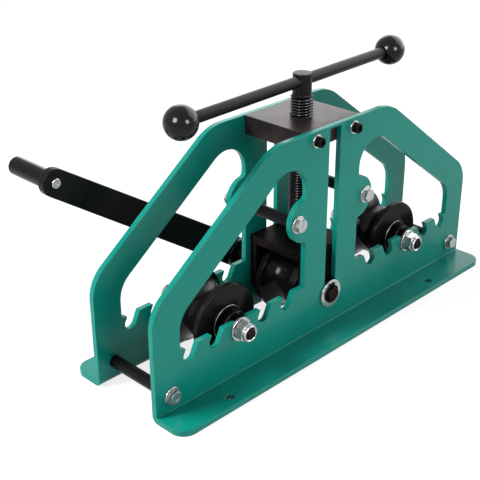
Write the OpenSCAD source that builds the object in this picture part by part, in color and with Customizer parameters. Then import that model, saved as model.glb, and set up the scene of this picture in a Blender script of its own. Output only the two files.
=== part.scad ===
// Ring roller for the bench: bar or tube is rolled into rings between three grooved dies.
// X runs along the side plates, Y from the front plate to the crank, and Z is up.
// The origin lies on the bench, at the centre of the four bench bolt holes. Every piece is drawn
// about the middle of the machine, and placed() then moves it by the shift of those holes.

/* [Side plates] */
// Length of each side plate
plate_length = 500; // [480:5:560]
// Height of the plates above the bench
plate_height = 235; // [228:1:250]
// Thickness of the plate steel
plate_thickness = 6.5; // [5:0.5:8]
// Clear distance between the two plates
plate_gap = 79.5; // [76:0.5:90]
// Height of the upright ends, up to the unrounded corner
end_height = 118; // [110:1:125]
// Length of the flat top edge, between the unrounded corners
top_length = 182; // [160:2:200]
// Radius of the corners above the upright ends
end_corner_r = 40; // [10:1:60]
// Radius of the corners beside the flat top
top_corner_r = 55; // [10:1:70]

/* [Feet] */
// How far each foot reaches out from the face of its plate
foot_reach = 36.7; // [30:0.5:45]
// Inner radius of the bend between plate and foot
bend_r = 6; // [3:0.5:9]
// Radius of the outer corners of a foot
foot_corner_r = 22; // [5:1:28]
// Diameter of the bench bolt holes
foot_hole_d = 8.5; // [6:0.5:11]
// Distance between the two bench bolt holes of a foot
foot_hole_span = 331; // [201:5:401]
// Distance of the bolt holes' centre to the left of the middle of the machine
foot_hole_shift = 11; // [0:1:20]
// Distance from a bench bolt hole to the outer edge of the foot
foot_hole_margin = 13; // [10:0.5:18]

/* [Windows] */
// Width of the web between the two windows
web_width = 84; // [76:1:92]
// Width of the upright post at each end of a plate
post_width = 33; // [25:1:38]
// Width of the sloping band above each window
band_width = 33; // [25:1:38]
// Radius of the window corner beside the end post
window_corner_r = 30; // [15:1:40]
// Radius of the round top of a window
lobe_r = 27.3; // [22:0.1:30]
// Height of the flat tooth tops along the bottom of a window
comb_height = 66.5; // [62:0.5:72]
// Radius of the lug that carries an upper tie rod
lug_r = 24; // [22:0.5:26]
// Distance of the lug's centre from the middle of the plate
lug_x = 41.5; // [40:0.5:44]
// Radius where the lug runs into the web
lug_fillet_r = 5; // [2:0.5:7]

/* [Comb slots] */
// Number of slots in each comb
slot_count = 5; // [3:1:5]
// Width of a slot
slot_width = 15.4; // [15.3:0.1:18]
// Distance from the middle of the plate to the first slot's seat
first_slot_x = 70.5; // [66:0.5:75]
// Distance between neighbouring slots
slot_pitch = 34; // [30:0.5:34.5]
// Height of the seats above the bench
seat_height = 57.5; // [56:0.5:60]
// Lean of the slots from upright, mouths towards the middle
slot_tilt = 18; // [0:1:22]
// Radius of the eased outer edge of each slot's mouth
mouth_r = 4.5; // [1:0.5:5]
// Slot that each lower axle sits in, counted from the middle
axle_slot = 3; // [2:1:3]

/* [Guide slot] */
// Width of the upright guide slot for the drive shaft
guide_width = 17; // [16.6:0.1:20]
// Height of the drive shaft at its lowest place
shaft_height = 42.5; // [42.5:0.5:46]
// Steel left between the guide slot and the top edge
guide_bridge = 5; // [3:0.5:9]

/* [Tie rods] */
// Diameter of the tie rods
tie_d = 13; // [12:0.5:16]
// Distance of the lower tie rods from the middle
lower_tie_x = 230; // [222:1:234]
// Height of the lower tie rods
lower_tie_height = 23; // [22.5:0.5:30]
// Distance of the upper tie rods from the middle
upper_tie_x = 54.5; // [54:0.5:56]
// Height of the upper tie rods
upper_tie_height = 142.4; // [138:0.2:148]

/* [Small fasteners] */
// Thread diameter of the tie bolts and block screws
bolt_d = 8; // [6:1:8]
// Thread length of the tie bolts and block screws below the head
bolt_reach = 22; // [18:1:26]
// Width across the flats of a tie bolt's head
bolt_flats = 13; // [11:0.5:14]
// Height of a tie bolt's head
bolt_head_h = 5.3; // [4:0.1:7]
// Outer diameter of the tie bolt washers
tie_washer_d = 19; // [17:0.5:21]
// Outer diameter of the block screw washers
block_washer_d = 16; // [15:0.5:17]
// Thickness of the small washers
small_washer_t = 1.6; // [1:0.1:2]
// Head diameter of a block screw
cap_head_d = 13; // [12:0.5:14]
// Head height of a block screw
cap_head_h = 8; // [6:0.5:9]
// Width across the flats of a block screw's socket
cap_socket = 6; // [5:0.5:7]
// Depth of a block screw's socket
cap_socket_depth = 4; // [2:0.5:5]

/* [Top block] */
// Length of the top block
block_length = 86; // [80:1:92]
// Height of the top block
block_height = 20.6; // [18:0.2:24]
// Distance of the block screws from the middle
block_screw_x = 29; // [26:0.5:32]

/* [Lower axles] */
// Diameter of the lower axles where they seat in the slots
axle_d = 15; // [14:0.1:15]
// Thread diameter at the ends of the axles
axle_end_d = 12; // [10:0.5:12]
// Length that the thread stands out past the axle washer
axle_end_reach = 15; // [14:0.5:18]
// Outer diameter of the sleeves that the lower dies turn on
sleeve_d = 20; // [18.5:0.5:24]
// Outer diameter of the spacer collars
spacer_d = 28; // [24:0.5:32]
// Outer diameter of the axle washers
axle_washer_d = 25.6; // [24:0.2:28]
// Thickness of the axle washers
axle_washer_t = 2.5; // [2:0.1:3]
// Width across the flats of the lock nuts
nut_flats = 19; // [17:0.5:20]
// Height of the hexagon of a lock nut
nut_hex_h = 10; // [8:0.5:11]
// Height of the round collar of a lock nut
nut_collar_h = 3.5; // [2:0.5:3.5]
// Outer diameter of the collar of a lock nut
nut_collar_d = 18; // [16:0.5:18.5]

/* [Dies] */
// Radius of the die flanges
die_r = 41; // [36:0.5:41]
// Width of a die over its flanges
die_width = 46; // [40:0.5:48]
// Radius of the groove's bottom
groove_root_r = 28.5; // [26:0.5:31]
// Width of the groove at its mouth
groove_width = 38; // [30:0.5:38]
// Radius of the hub at each side of a die
hub_r = 20; // [16:0.5:22]
// Width of a die over its hubs
hub_width = 60.2; // [56:0.2:62]
// Height of the dished face between flange edge and hub
dish_depth = 2.5; // [1:0.1:3]
// Radius of the rounded flange edges
rim_r = 1.6; // [0.6:0.2:2.4]

/* [Yoke] */
// Length of the yoke along the machine
yoke_length = 70; // [60:1:76]
// Height of the yoke's top face above the drive shaft
yoke_top = 54.4; // [53.5:0.2:58]
// Thickness of the yoke plate
yoke_plate_t = 10; // [8:0.2:10.4]
// Thickness of the yoke cheeks
cheek_t = 8; // [6:0.2:8.4]
// Length of a cheek below the drive shaft
cheek_drop = 18; // [15:0.5:20]
// Radius of a cheek's lower corners
cheek_corner_r = 15; // [4:1:16]
// Outer diameter of the shaft bushes
bush_d = 20; // [19:0.5:22]
// Thread diameter of the yoke screws
yoke_screw_d = 6; // [4:0.5:6]
// Head diameter of the yoke screws
yoke_screw_head_d = 12; // [9:0.5:12]
// Length of the yoke screws
yoke_screw_length = 22; // [16:1:26]
// Distance of the yoke screws from the middle
yoke_screw_x = 24; // [18:0.5:28]

/* [Drive shaft] */
// Diameter of the drive shaft
shaft_d = 16; // [14:0.1:16.4]
// Length of the shaft that stands out past the front retaining ring
shaft_nose = 2.5; // [1:0.5:4]
// Outer diameter of the guide washers
guide_washer_d = 32; // [28:0.5:34]
// Thickness of the guide washers
guide_washer_t = 2.2; // [1.6:0.1:3]
// Width and height of the key
key_size = 5; // [4:0.5:6]
// Length of the key
key_length = 42; // [30:1:50]
// Thickness of the retaining rings
ring_t = 1.2; // [1:0.1:1.5]
// Radial width of the retaining rings
ring_width = 2.8; // [2:0.1:3.4]
// Depth of the grooves that hold the retaining rings
ring_groove = 0.5; // [0.3:0.1:0.8]

/* [Crank] */
// Distance from the drive shaft to the handle bolt
crank_length = 292; // [240:2:320]
// Width of the crank arm
arm_width = 37; // [32:0.5:42]
// Thickness of the crank arm
arm_thickness = 9; // [8:0.5:12]
// Rise of the crank arm above level
crank_angle = 33.5; // [0:0.1:60]
// Distance from the middle of the machine to the face of the crank hub
hub_face_y = 87.5; // [86:0.5:96]
// Length of the crank hub
crank_hub_length = 6.5; // [6:0.5:12]
// Diameter of the crank hub
crank_hub_d = 36.6; // [30:0.2:38]
// Thread diameter of the set screw in the hub
set_screw_d = 4; // [3:0.5:4]
// Diameter of the handle bolt
handle_bolt_d = 10; // [8:0.5:10]
// Length of the handle bolt's end that shows at the front of the arm
handle_bolt_nose = 2; // [1:0.5:4]
// Head diameter of the handle bolt
handle_head_d = 14; // [12:0.5:14]
// Head height of the handle bolt
handle_head_h = 6; // [4:0.5:8]
// Outer diameter of the grip
grip_d = 19; // [18:0.5:26]
// Length of the grip
grip_length = 57; // [50:1:110]
// Depth of the counterbore that hides the bolt head
grip_counterbore = 8; // [7:0.5:10]

/* [Lead screw and cross bar] */
// Diameter of the lead screw's thread
screw_d = 24; // [22:0.5:26]
// Pitch of the lead screw's thread
screw_pitch = 3; // [2:0.5:4]
// Diameter of the screw's plain head
head_d = 20; // [18:0.5:21]
// Height of the thread's upper end above the top block
thread_show = 22.3; // [12:0.1:30]
// Height of the plain head
head_height = 21.6; // [21.6:0.1:26]
// Height of the cross bar above the thread's upper end
bar_rise = 13.5; // [9:0.1:14]
// Diameter of the journal in the yoke plate
journal_d = 14; // [12:0.5:16]
// Diameter of the cross bar
bar_d = 12; // [10:0.5:12]
// Distance between the centres of the ball knobs
ball_span = 328; // [240:2:360]
// How far the cross bar is slid to the left
bar_offset = 9; // [0:0.5:20]
// How far the lead screw and the cross bar are turned from the line of the plates
bar_turn = 2.4; // [0:0.1:15]
// Diameter of the ball knobs
ball_d = 33.5; // [28:0.5:38]
// Depth that the bar enters each ball knob
ball_socket = 18; // [12:0.5:20]

/* [Clearances] */
// Radial clearance of a running or sliding fit
run_clearance = 0.05; // [0.02:0.01:0.1]
// Radial clearance of a thread or a close seat
seat_clearance = 0.02; // [0.01:0.01:0.03]
// End gap between parts that turn or slide past each other
end_gap = 0.3; // [0.2:0.05:0.4]
// Gap between the lead screw's shoulder and the yoke plate
thrust_gap = 0.1; // [0.05:0.05:0.2]

/* [Hidden] */

$fn = 72;
// Overrun of every cut past the face it leaves
overrun = 1;
// Angle between neighbouring points of a rounded outline
arc_step = 7.5;
// Edge breaks on turned parts and fasteners
edge_break = 1;
small_break = 0.5;

// Paint and metal colours
paint = [0.10, 0.47, 0.42];
black_steel = [0.09, 0.085, 0.09];
black_gloss = [0.03, 0.03, 0.035];
zinc = [0.78, 0.79, 0.80];
bronze = [0.62, 0.47, 0.25];

// Places across the machine
inner_face_y = plate_gap / 2;
outer_face_y = inner_face_y + plate_thickness;
foot_edge_y = outer_face_y + foot_reach;
foot_hole_y = foot_edge_y - foot_hole_margin;

// Side plate outline
half_length = plate_length / 2;
half_top = top_length / 2;
slope = atan2(plate_height - end_height, half_length - half_top);
slope_normal = [sin(slope), cos(slope)];
window_top_level = slope_normal * [half_top, plate_height] - band_width;
window_end_x = half_length - post_width;
window_corner_x = window_end_x - window_corner_r;
window_corner_z = (window_top_level - window_corner_r - slope_normal.x * window_corner_x) / slope_normal.y;
lobe_x = web_width / 2 + lobe_r;
lobe_z = (window_top_level - lobe_r - slope_normal.x * lobe_x) / slope_normal.y;
lug_fillet_x = web_width / 2 + lug_fillet_r;
lug_fillet_rise = sqrt(pow(lug_r + lug_fillet_r, 2) - pow(lug_fillet_x - lug_x, 2));
lug_angle = atan2(lug_fillet_rise, lug_fillet_x - lug_x);

// Slots and the seats in them
slot_axis = [-sin(slot_tilt), cos(slot_tilt)];
slot_normal = [cos(slot_tilt), sin(slot_tilt)];
seat_drop = (slot_width - axle_d) / 2 - seat_clearance;
axle_x = first_slot_x + (axle_slot - 1) * slot_pitch;
axle_z = seat_height - seat_drop;
guide_bottom = shaft_height - shaft_d / 2 - seat_clearance;
guide_top = plate_height - guide_bridge;

// Fasteners
bolt_hole_d = bolt_d + 2 * run_clearance;
tie_points = [
    for (sx = [-1, 1])
        for (place = [[lower_tie_x, lower_tie_height], [upper_tie_x, upper_tie_height]])
            [sx * place.x, place.y]
];
block_screw_z = plate_height - block_height / 2;
block_points = [for (sx = [-1, 1]) [sx * block_screw_x, block_screw_z]];

// Lower axles, from the middle outwards
shoulder_y = outer_face_y - end_gap;
spacer_inner_y = hub_width / 2 + end_gap / 2;
axle_washer_y = outer_face_y + axle_washer_t;
axle_end_y = axle_washer_y + axle_end_reach;
nut_height = nut_hex_h + nut_collar_h;

// Yoke and drive
cheek_inner_y = hub_width / 2 + end_gap;
cheek_outer_y = cheek_inner_y + cheek_t;
yoke_top_z = shaft_height + yoke_top;
yoke_under_z = yoke_top_z - yoke_plate_t;
guide_washer_inner_y = outer_face_y + end_gap;
ring_y = guide_washer_inner_y + guide_washer_t + end_gap / 2;
shaft_front_y = -(ring_y + ring_t + shaft_nose);
arm_front_y = hub_face_y + crank_hub_length;
arm_back_y = arm_front_y + arm_thickness;
shaft_back_y = arm_back_y + edge_break;
crank_direction = [-cos(crank_angle), sin(crank_angle)];
handle_point = [0, shaft_height] + crank_length * crank_direction;
grip_front_y = arm_back_y + end_gap;
grip_back_y = grip_front_y + grip_length;
handle_head_y = grip_back_y - grip_counterbore + end_gap / 2;

// Lead screw
block_bottom_z = plate_height - block_height;
screw_shoulder_z = yoke_top_z + thrust_gap;
thread_top_z = plate_height + thread_show;
head_top_z = thread_top_z + head_height;
bar_z = thread_top_z + bar_rise;
screw_ring_recess = ring_t + 2 * end_gap;
journal_bottom_z = yoke_under_z + small_break;

// A ball's flat lies where the bar leaves it, and the bar ends this far short of the ball's centre
ball_flat = sqrt(pow(ball_d / 2, 2) - pow(bar_d / 2, 2));
bar_end_inset = ball_flat - ball_socket;

// Points of an arc about a centre, from one angle to another
function arc(centre, r, from, to) =
    let (steps = max(2, ceil(abs(to - from) / arc_step)))
    [for (i = [0 : steps])
        let (a = from + (to - from) * i / steps)
        centre + r * [cos(a), sin(a)]];

function unit(v) = v / norm(v);

function short_turn(a) = a > 180 ? a - 360 : a < -180 ? a + 360 : a;

// One vertex of an outline, rounded by its own radius, between its two neighbours
function rounded_corner(before, at, after, r) =
    r == 0 ? [at] :
    let (
        to_before = unit(before - at),
        to_after = unit(after - at),
        half_angle = acos(to_before * to_after) / 2,
        centre = at + unit(to_before + to_after) * r / sin(half_angle),
        start = at + to_before * r / tan(half_angle) - centre,
        end = at + to_after * r / tan(half_angle) - centre,
        from = atan2(start.y, start.x)
    )
    arc(centre, r, from, from + short_turn(atan2(end.y, end.x) - from));

function flat(p) = [p.x, p.y];

// An open run of [x, z, radius] vertices, whose two ends stay sharp
function rounded_run(path) = [
    for (i = [0 : len(path) - 1])
        each (i == 0 || i == len(path) - 1
            ? [flat(path[i])]
            : rounded_corner(flat(path[i - 1]), flat(path[i]), flat(path[i + 1]), path[i].z))
];

// A closed outline of [x, z, radius] vertices
function rounded_loop(path) = [
    for (i = [0 : len(path) - 1])
        each rounded_corner(
            flat(path[(i + len(path) - 1) % len(path)]),
            flat(path[i]),
            flat(path[(i + 1) % len(path)]),
            path[i].z)
];

// Where a slot wall that starts at a point reaches the tooth tops
function at_comb(p) = p + slot_axis * (comb_height - p.y) / slot_axis.y;

function slot_vertices(x) =
    let (
        seat = [x, seat_height],
        half = slot_width / 2,
        inner = seat - slot_normal * half,
        outer = seat + slot_normal * half,
        inner_mouth = at_comb(inner),
        inner_foot = inner - slot_axis * half,
        outer_foot = outer - slot_axis * half,
        outer_mouth = at_comb(outer)
    )
    [
        [inner_mouth.x, inner_mouth.y, 0],
        [inner_foot.x, inner_foot.y, half],
        [outer_foot.x, outer_foot.y, half],
        [outer_mouth.x, outer_mouth.y, mouth_r],
    ];

comb_run = rounded_run([
    [web_width / 2, comb_height, 0],
    for (k = [0 : slot_count - 1]) each slot_vertices(first_slot_x + k * slot_pitch),
    [window_end_x, comb_height, 0],
]);

// The right-hand window, with its comb, the round top and the lug of the upper tie rod
window_outline = concat(
    comb_run,
    arc([window_corner_x, window_corner_z], window_corner_r, 0, 90 - slope),
    arc([lobe_x, lobe_z], lobe_r, 90 - slope, 180),
    arc([lug_fillet_x, upper_tie_height + lug_fillet_rise], lug_fillet_r, 180, 180 + lug_angle),
    arc([lug_x, upper_tie_height], lug_r, lug_angle, -lug_angle),
    arc([lug_fillet_x, upper_tie_height - lug_fillet_rise], lug_fillet_r, 180 - lug_angle, 180)
);

plate_outline = rounded_loop([
    [-half_length, 0, 0],
    [half_length, 0, 0],
    [half_length, end_height, end_corner_r],
    [half_top, plate_height, top_corner_r],
    [-half_top, plate_height, top_corner_r],
    [-half_length, end_height, end_corner_r],
]);

foot_outline = rounded_loop([
    [-half_length, 0, 0],
    [-half_length, -foot_edge_y, foot_corner_r],
    [half_length, -foot_edge_y, foot_corner_r],
    [half_length, 0, 0],
]);

// Lays a flat X-Z drawing on a plane across the machine and gives it depth towards +Y
module along_y(y, depth) {
    translate([0, y + depth, 0])
        rotate([90, 0, 0])
            linear_extrude(depth)
                children();
}

// A round bar along Y between two places, with broken edges at both ends
module y_bar(x, z, y0, y1, d, bevel = 0) {
    translate([x, y0, z])
        rotate([-90, 0, 0])
            rotate_extrude()
                polygon([
                    [0, 0], [d / 2 - bevel, 0], [d / 2, bevel],
                    [d / 2, y1 - y0 - bevel], [d / 2 - bevel, y1 - y0], [0, y1 - y0],
                ]);
}

module y_hole(x, z, y0, y1, d) {
    translate([x, y0 - overrun, z])
        rotate([-90, 0, 0])
            cylinder(d = d, h = y1 - y0 + 2 * overrun);
}

module y_ring(x, z, y0, y1, outer_d, inner_d) {
    difference() {
        y_bar(x, z, y0, y1, outer_d, small_break / 2);
        y_hole(x, z, y0, y1, inner_d);
    }
}

// Side plates

// The bent sheet seen from its end: upright, bend and foot
module sheet_section() {
    bend_y = -(outer_face_y + bend_r);
    bend_z = plate_thickness + bend_r;
    translate([-outer_face_y, bend_z])
        square([plate_thickness, plate_height]);
    intersection() {
        translate([bend_y, bend_z])
            difference() {
                circle(bend_z);
                circle(bend_r);
            }
        translate([bend_y, 0])
            square(bend_z);
    }
    translate([-foot_edge_y - overrun, 0])
        square([foot_reach - bend_r + overrun, plate_thickness]);
}

module plate_blank() {
    intersection() {
        rotate([90, 0, 90])
            linear_extrude(plate_length + 2 * overrun, center = true)
                sheet_section();
        along_y(-foot_edge_y - overrun, foot_reach + plate_thickness + 2 * overrun)
            polygon(plate_outline);
        translate([0, 0, -overrun])
            linear_extrude(plate_height + 2 * overrun)
                polygon(foot_outline);
    }
}

module plate_cuts() {
    along_y(-outer_face_y - overrun, plate_thickness + 2 * overrun) {
        polygon(window_outline);
        mirror([1, 0])
            polygon(window_outline);
        translate([0, guide_bottom + guide_width / 2])
            circle(d = guide_width);
        translate([-guide_width / 2, guide_bottom + guide_width / 2])
            square([guide_width, guide_top - guide_bottom - guide_width / 2]);
    }
    for (p = concat(tie_points, block_points))
        y_hole(p.x, p.y, -outer_face_y, -inner_face_y, bolt_hole_d);
    for (sx = [-1, 1])
        translate([sx * foot_hole_span / 2 - foot_hole_shift, -foot_hole_y, -overrun])
            cylinder(d = foot_hole_d, h = plate_thickness + 2 * overrun);
}

module side_plate() {
    color(paint)
        difference() {
            plate_blank();
            plate_cuts();
        }
}

module front_side_plate() {
    side_plate();
}

module rear_side_plate() {
    mirror([0, 1, 0])
        side_plate();
}

// Frame hardware

module tie_rod(p) {
    color(black_steel)
        difference() {
            y_bar(p.x, p.y, -inner_face_y, inner_face_y, tie_d, small_break);
            for (side = [0, 1])
                mirror([0, side, 0])
                    y_hole(p.x, p.y, inner_face_y - bolt_reach, inner_face_y, bolt_hole_d);
        }
}

module lower_left_tie() {
    tie_rod([-lower_tie_x, lower_tie_height]);
}

module lower_right_tie() {
    tie_rod([lower_tie_x, lower_tie_height]);
}

module upper_left_tie() {
    tie_rod([-upper_tie_x, upper_tie_height]);
}

module upper_right_tie() {
    tie_rod([upper_tie_x, upper_tie_height]);
}

// Repeats its children at each point, on the front plate and mirrored on the rear one
module both_sides(points) {
    for (p = points)
        for (side = [0, 1])
            mirror([0, side, 0])
                translate([p.x, 0, p.y])
                    children();
}

// A hexagon bar along +Y, with its upper edges turned off
module hex_bar(flats, h) {
    rotate([-90, 0, 0])
        intersection() {
            cylinder(d = flats / cos(30), h = h, $fn = 6);
            translate([0, 0, -flats / 2])
                cylinder(r1 = flats / 2 + h, r2 = flats / 2 - small_break / 2, h = h + flats / 2);
        }
}

module tie_bolts() {
    color(zinc)
        both_sides(tie_points) {
            translate([0, outer_face_y + small_washer_t, 0])
                hex_bar(bolt_flats, bolt_head_h);
            y_bar(0, 0, outer_face_y + small_washer_t - bolt_reach, outer_face_y + small_washer_t, bolt_d);
        }
}

module tie_washers() {
    color(zinc)
        both_sides(tie_points)
            y_ring(0, 0, outer_face_y, outer_face_y + small_washer_t, tie_washer_d, bolt_hole_d);
}

module block_screws() {
    seat_y = outer_face_y + small_washer_t;
    color(black_steel)
        both_sides(block_points)
            difference() {
                union() {
                    y_bar(0, 0, seat_y, seat_y + cap_head_h, cap_head_d, small_break);
                    y_bar(0, 0, seat_y - bolt_reach, seat_y, bolt_d);
                }
                translate([0, seat_y + cap_head_h - cap_socket_depth, 0])
                    rotate([-90, 0, 0])
                        cylinder(d = cap_socket / cos(30), h = cap_socket_depth + overrun, $fn = 6);
            }
}

module block_washers() {
    color(zinc)
        both_sides(block_points)
            y_ring(0, 0, outer_face_y, outer_face_y + small_washer_t, block_washer_d, bolt_hole_d);
}

module top_block() {
    color(black_steel)
        difference() {
            translate([-block_length / 2, -inner_face_y, block_bottom_z])
                cube([block_length, plate_gap, block_height]);
            translate([0, 0, block_bottom_z - overrun])
                cylinder(d = screw_d + 2 * run_clearance, h = block_height + 2 * overrun);
            for (p = block_points)
                for (side = [0, 1])
                    mirror([0, side, 0])
                        y_hole(p.x, p.y, inner_face_y - bolt_reach, inner_face_y, bolt_hole_d);
        }
}

// Lower axles, with the pieces that are clamped on them

module axle(sx) {
    color(black_steel) {
        y_bar(sx * axle_x, axle_z, -shoulder_y, shoulder_y, axle_d, small_break);
        y_bar(sx * axle_x, axle_z, -axle_end_y, axle_end_y, axle_end_d, edge_break);
    }
}

module left_axle() {
    axle(-1);
}

module right_axle() {
    axle(1);
}

module sleeve(sx) {
    color(bronze)
        difference() {
            y_bar(sx * axle_x, axle_z, -spacer_inner_y, spacer_inner_y, sleeve_d);
            y_hole(sx * axle_x, axle_z, -spacer_inner_y, spacer_inner_y, axle_d + 2 * seat_clearance);
        }
}

module left_sleeve() {
    sleeve(-1);
}

module right_sleeve() {
    sleeve(1);
}

axle_points = [[-axle_x, axle_z], [axle_x, axle_z]];

module axle_spacers() {
    color(black_steel)
        both_sides(axle_points)
            y_ring(0, 0, spacer_inner_y, inner_face_y, spacer_d, axle_d + 2 * seat_clearance);
}

module axle_washers() {
    color(zinc)
        both_sides(axle_points)
            y_ring(0, 0, outer_face_y, axle_washer_y, axle_washer_d, axle_end_d + 2 * seat_clearance);
}

module axle_nuts() {
    color(zinc)
        both_sides(axle_points)
            difference() {
                union() {
                    translate([0, axle_washer_y, 0])
                        hex_bar(nut_flats, nut_hex_h);
                    y_bar(0, 0, axle_washer_y, axle_washer_y + nut_height, nut_collar_d, edge_break);
                }
                y_hole(0, 0, axle_washer_y, axle_washer_y + nut_height, axle_end_d + 2 * seat_clearance);
            }
}

// Dies

// Half section of a die, with radius along X and the axis along Y: hub, dished face, rim and groove
function die_section(bore_r) =
    let (
        half_hub = hub_width / 2,
        half_width = die_width / 2,
        half_groove = groove_width / 2,
        groove_depth = die_r - groove_root_r,
        groove_r = (pow(half_groove, 2) + pow(groove_depth, 2)) / (2 * groove_depth),
        half_open = asin(half_groove / groove_r)
    )
    concat(
        [[bore_r, -half_hub], [hub_r - edge_break, -half_hub], [hub_r, -half_hub + edge_break]],
        rounded_run([
            [hub_r, -half_width - dish_depth, 0],
            [die_r, -half_width, rim_r],
            [die_r, -half_groove, 0],
        ]),
        arc([groove_root_r + groove_r, 0], groove_r, 180 + half_open, 180 - half_open),
        rounded_run([
            [die_r, half_groove, 0],
            [die_r, half_width, rim_r],
            [hub_r, half_width + dish_depth, 0],
        ]),
        [[hub_r, half_hub - edge_break], [hub_r - edge_break, half_hub], [bore_r, half_hub]]
    );

module die(x, z, bore_d) {
    translate([x, 0, z])
        rotate([-90, 0, 0])
            rotate_extrude()
                polygon(die_section(bore_d / 2));
}

module left_die() {
    color(black_gloss)
        die(-axle_x, axle_z, sleeve_d + 2 * run_clearance);
}

module right_die() {
    color(black_gloss)
        die(axle_x, axle_z, sleeve_d + 2 * run_clearance);
}

// The key lies half in the shaft and half in the die
module key_box(grow) {
    translate([-key_size / 2 - grow, -key_length / 2 - grow, shaft_height + shaft_d / 2 - key_size / 2 - grow])
        cube([key_size + 2 * grow, key_length + 2 * grow, key_size + 2 * grow]);
}

module middle_die() {
    color(black_gloss)
        difference() {
            die(0, shaft_height, shaft_d + 2 * seat_clearance);
            translate([
                -key_size / 2 - seat_clearance,
                -hub_width / 2 - overrun,
                shaft_height,
            ])
                cube([
                    key_size + 2 * seat_clearance,
                    hub_width + 2 * overrun,
                    shaft_d / 2 + key_size / 2 + seat_clearance,
                ]);
        }
}

module die_key() {
    color(zinc)
        key_box(0);
}

// Yoke

module yoke_screw_holes() {
    for (sx = [-1, 1])
        for (side = [0, 1])
            mirror([0, side, 0])
                translate([sx * yoke_screw_x, cheek_outer_y, yoke_top_z - yoke_plate_t / 2])
                    rotate([90, 0, 0])
                        yoke_screw_body(seat_clearance, overrun);
}

// A countersunk screw along +Z, whose head is flush at the origin
module yoke_screw_body(grow, proud) {
    r = yoke_screw_d / 2 + grow;
    head_r = yoke_screw_head_d / 2 + grow;
    rotate_extrude()
        polygon([
            [0, -proud], [head_r, -proud], [head_r, 0], [r, head_r - r],
            [r, yoke_screw_length + grow], [0, yoke_screw_length + grow],
        ]);
}

module yoke_plate() {
    color(black_steel)
        difference() {
            translate([-yoke_length / 2, -cheek_inner_y, yoke_under_z])
                cube([yoke_length, 2 * cheek_inner_y, yoke_plate_t]);
            translate([0, 0, yoke_under_z - overrun])
                cylinder(d = journal_d + 2 * run_clearance, h = yoke_plate_t + 2 * overrun);
            translate([0, 0, yoke_under_z - overrun])
                cylinder(
                    r = journal_d / 2 + ring_width + end_gap,
                    h = screw_ring_recess + small_break + overrun);
            yoke_screw_holes();
        }
}

module yoke_cheek() {
    half = yoke_length / 2;
    bottom = shaft_height - cheek_drop;
    color(black_steel)
        difference() {
            along_y(-cheek_outer_y, cheek_t)
                polygon(rounded_loop([
                    [-half, yoke_top_z, 0],
                    [-half, bottom, cheek_corner_r],
                    [half, bottom, cheek_corner_r],
                    [half, yoke_top_z, 0],
                ]));
            y_hole(0, shaft_height, -cheek_outer_y, -cheek_inner_y, bush_d + 2 * seat_clearance);
            yoke_screw_holes();
        }
}

module yoke_front_cheek() {
    yoke_cheek();
}

module yoke_rear_cheek() {
    mirror([0, 1, 0])
        yoke_cheek();
}

module yoke_screws() {
    color(zinc)
        for (sx = [-1, 1])
            for (side = [0, 1])
                mirror([0, side, 0])
                    translate([sx * yoke_screw_x, cheek_outer_y, yoke_top_z - yoke_plate_t / 2])
                        rotate([90, 0, 0])
                            yoke_screw_body(0, 0);
}

module shaft_bushes() {
    color(bronze)
        for (side = [0, 1])
            mirror([0, side, 0])
                difference() {
                    y_bar(0, shaft_height, cheek_inner_y, cheek_outer_y, bush_d);
                    y_hole(0, shaft_height, cheek_inner_y, cheek_outer_y, shaft_d + 2 * run_clearance);
                }
}

// Drive

// The groove that a retaining ring sits in, as the ring of steel to cut away
module ring_groove_cut(y0, y1) {
    y_band(y0, y1, shaft_d + 2 * overrun, shaft_d - 2 * ring_groove);
}

module y_band(y0, y1, outer_d, inner_d) {
    translate([0, y0, shaft_height])
        rotate([-90, 0, 0])
            rotate_extrude()
                translate([inner_d / 2, 0])
                    square([(outer_d - inner_d) / 2, y1 - y0]);
}

module drive_shaft() {
    color(black_steel)
        difference() {
            y_bar(0, shaft_height, shaft_front_y, shaft_back_y, shaft_d, edge_break);
            for (side = [0, 1])
                mirror([0, side, 0])
                    ring_groove_cut(ring_y - seat_clearance, ring_y + ring_t + seat_clearance);
            key_box(seat_clearance);
        }
}

module guide_washers() {
    color(zinc)
        for (side = [0, 1])
            mirror([0, side, 0])
                y_ring(
                    0, shaft_height, guide_washer_inner_y, guide_washer_inner_y + guide_washer_t,
                    guide_washer_d, shaft_d + 2 * seat_clearance);
}

// Flat outline of an open retaining ring with two ears, seated on a groove of the given radius
module ring_outline(inner_r) {
    ear_r = ring_width * 0.75;
    difference() {
        union() {
            circle(r = inner_r + ring_width);
            for (sx = [-1, 1])
                translate([sx * ear_r, inner_r + ring_width])
                    circle(r = ear_r);
        }
        circle(r = inner_r);
        translate([-ear_r / 2, 0])
            square([ear_r, inner_r + 2 * ring_width]);
        for (sx = [-1, 1])
            translate([sx * ear_r, inner_r + ring_width])
                circle(r = ear_r / 3);
    }
}

module shaft_rings() {
    color(black_steel)
        for (side = [0, 1])
            mirror([0, side, 0])
                translate([0, ring_y + ring_t, shaft_height])
                    rotate([90, 0, 0])
                        linear_extrude(ring_t)
                            ring_outline(shaft_d / 2 - ring_groove + seat_clearance);
}

module crank_hub() {
    color(black_steel)
        difference() {
            y_bar(0, shaft_height, hub_face_y, arm_front_y, crank_hub_d, small_break);
            y_hole(0, shaft_height, hub_face_y, arm_front_y, shaft_d + 2 * seat_clearance);
            set_screw_body(seat_clearance);
        }
}

// The set screw points at the shaft from the side of the hub away from the arm
module set_screw_body(grow) {
    translate([0, hub_face_y + crank_hub_length / 2, shaft_height])
        rotate([0, 90 + crank_angle, 0])
            translate([0, 0, shaft_d / 2 + end_gap - grow])
                cylinder(
                    d = set_screw_d + 2 * grow,
                    h = crank_hub_d / 2 - shaft_d / 2 - 2 * end_gap + grow * (overrun / seat_clearance));
}

module hub_set_screw() {
    color(black_steel)
        set_screw_body(0);
}

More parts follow.
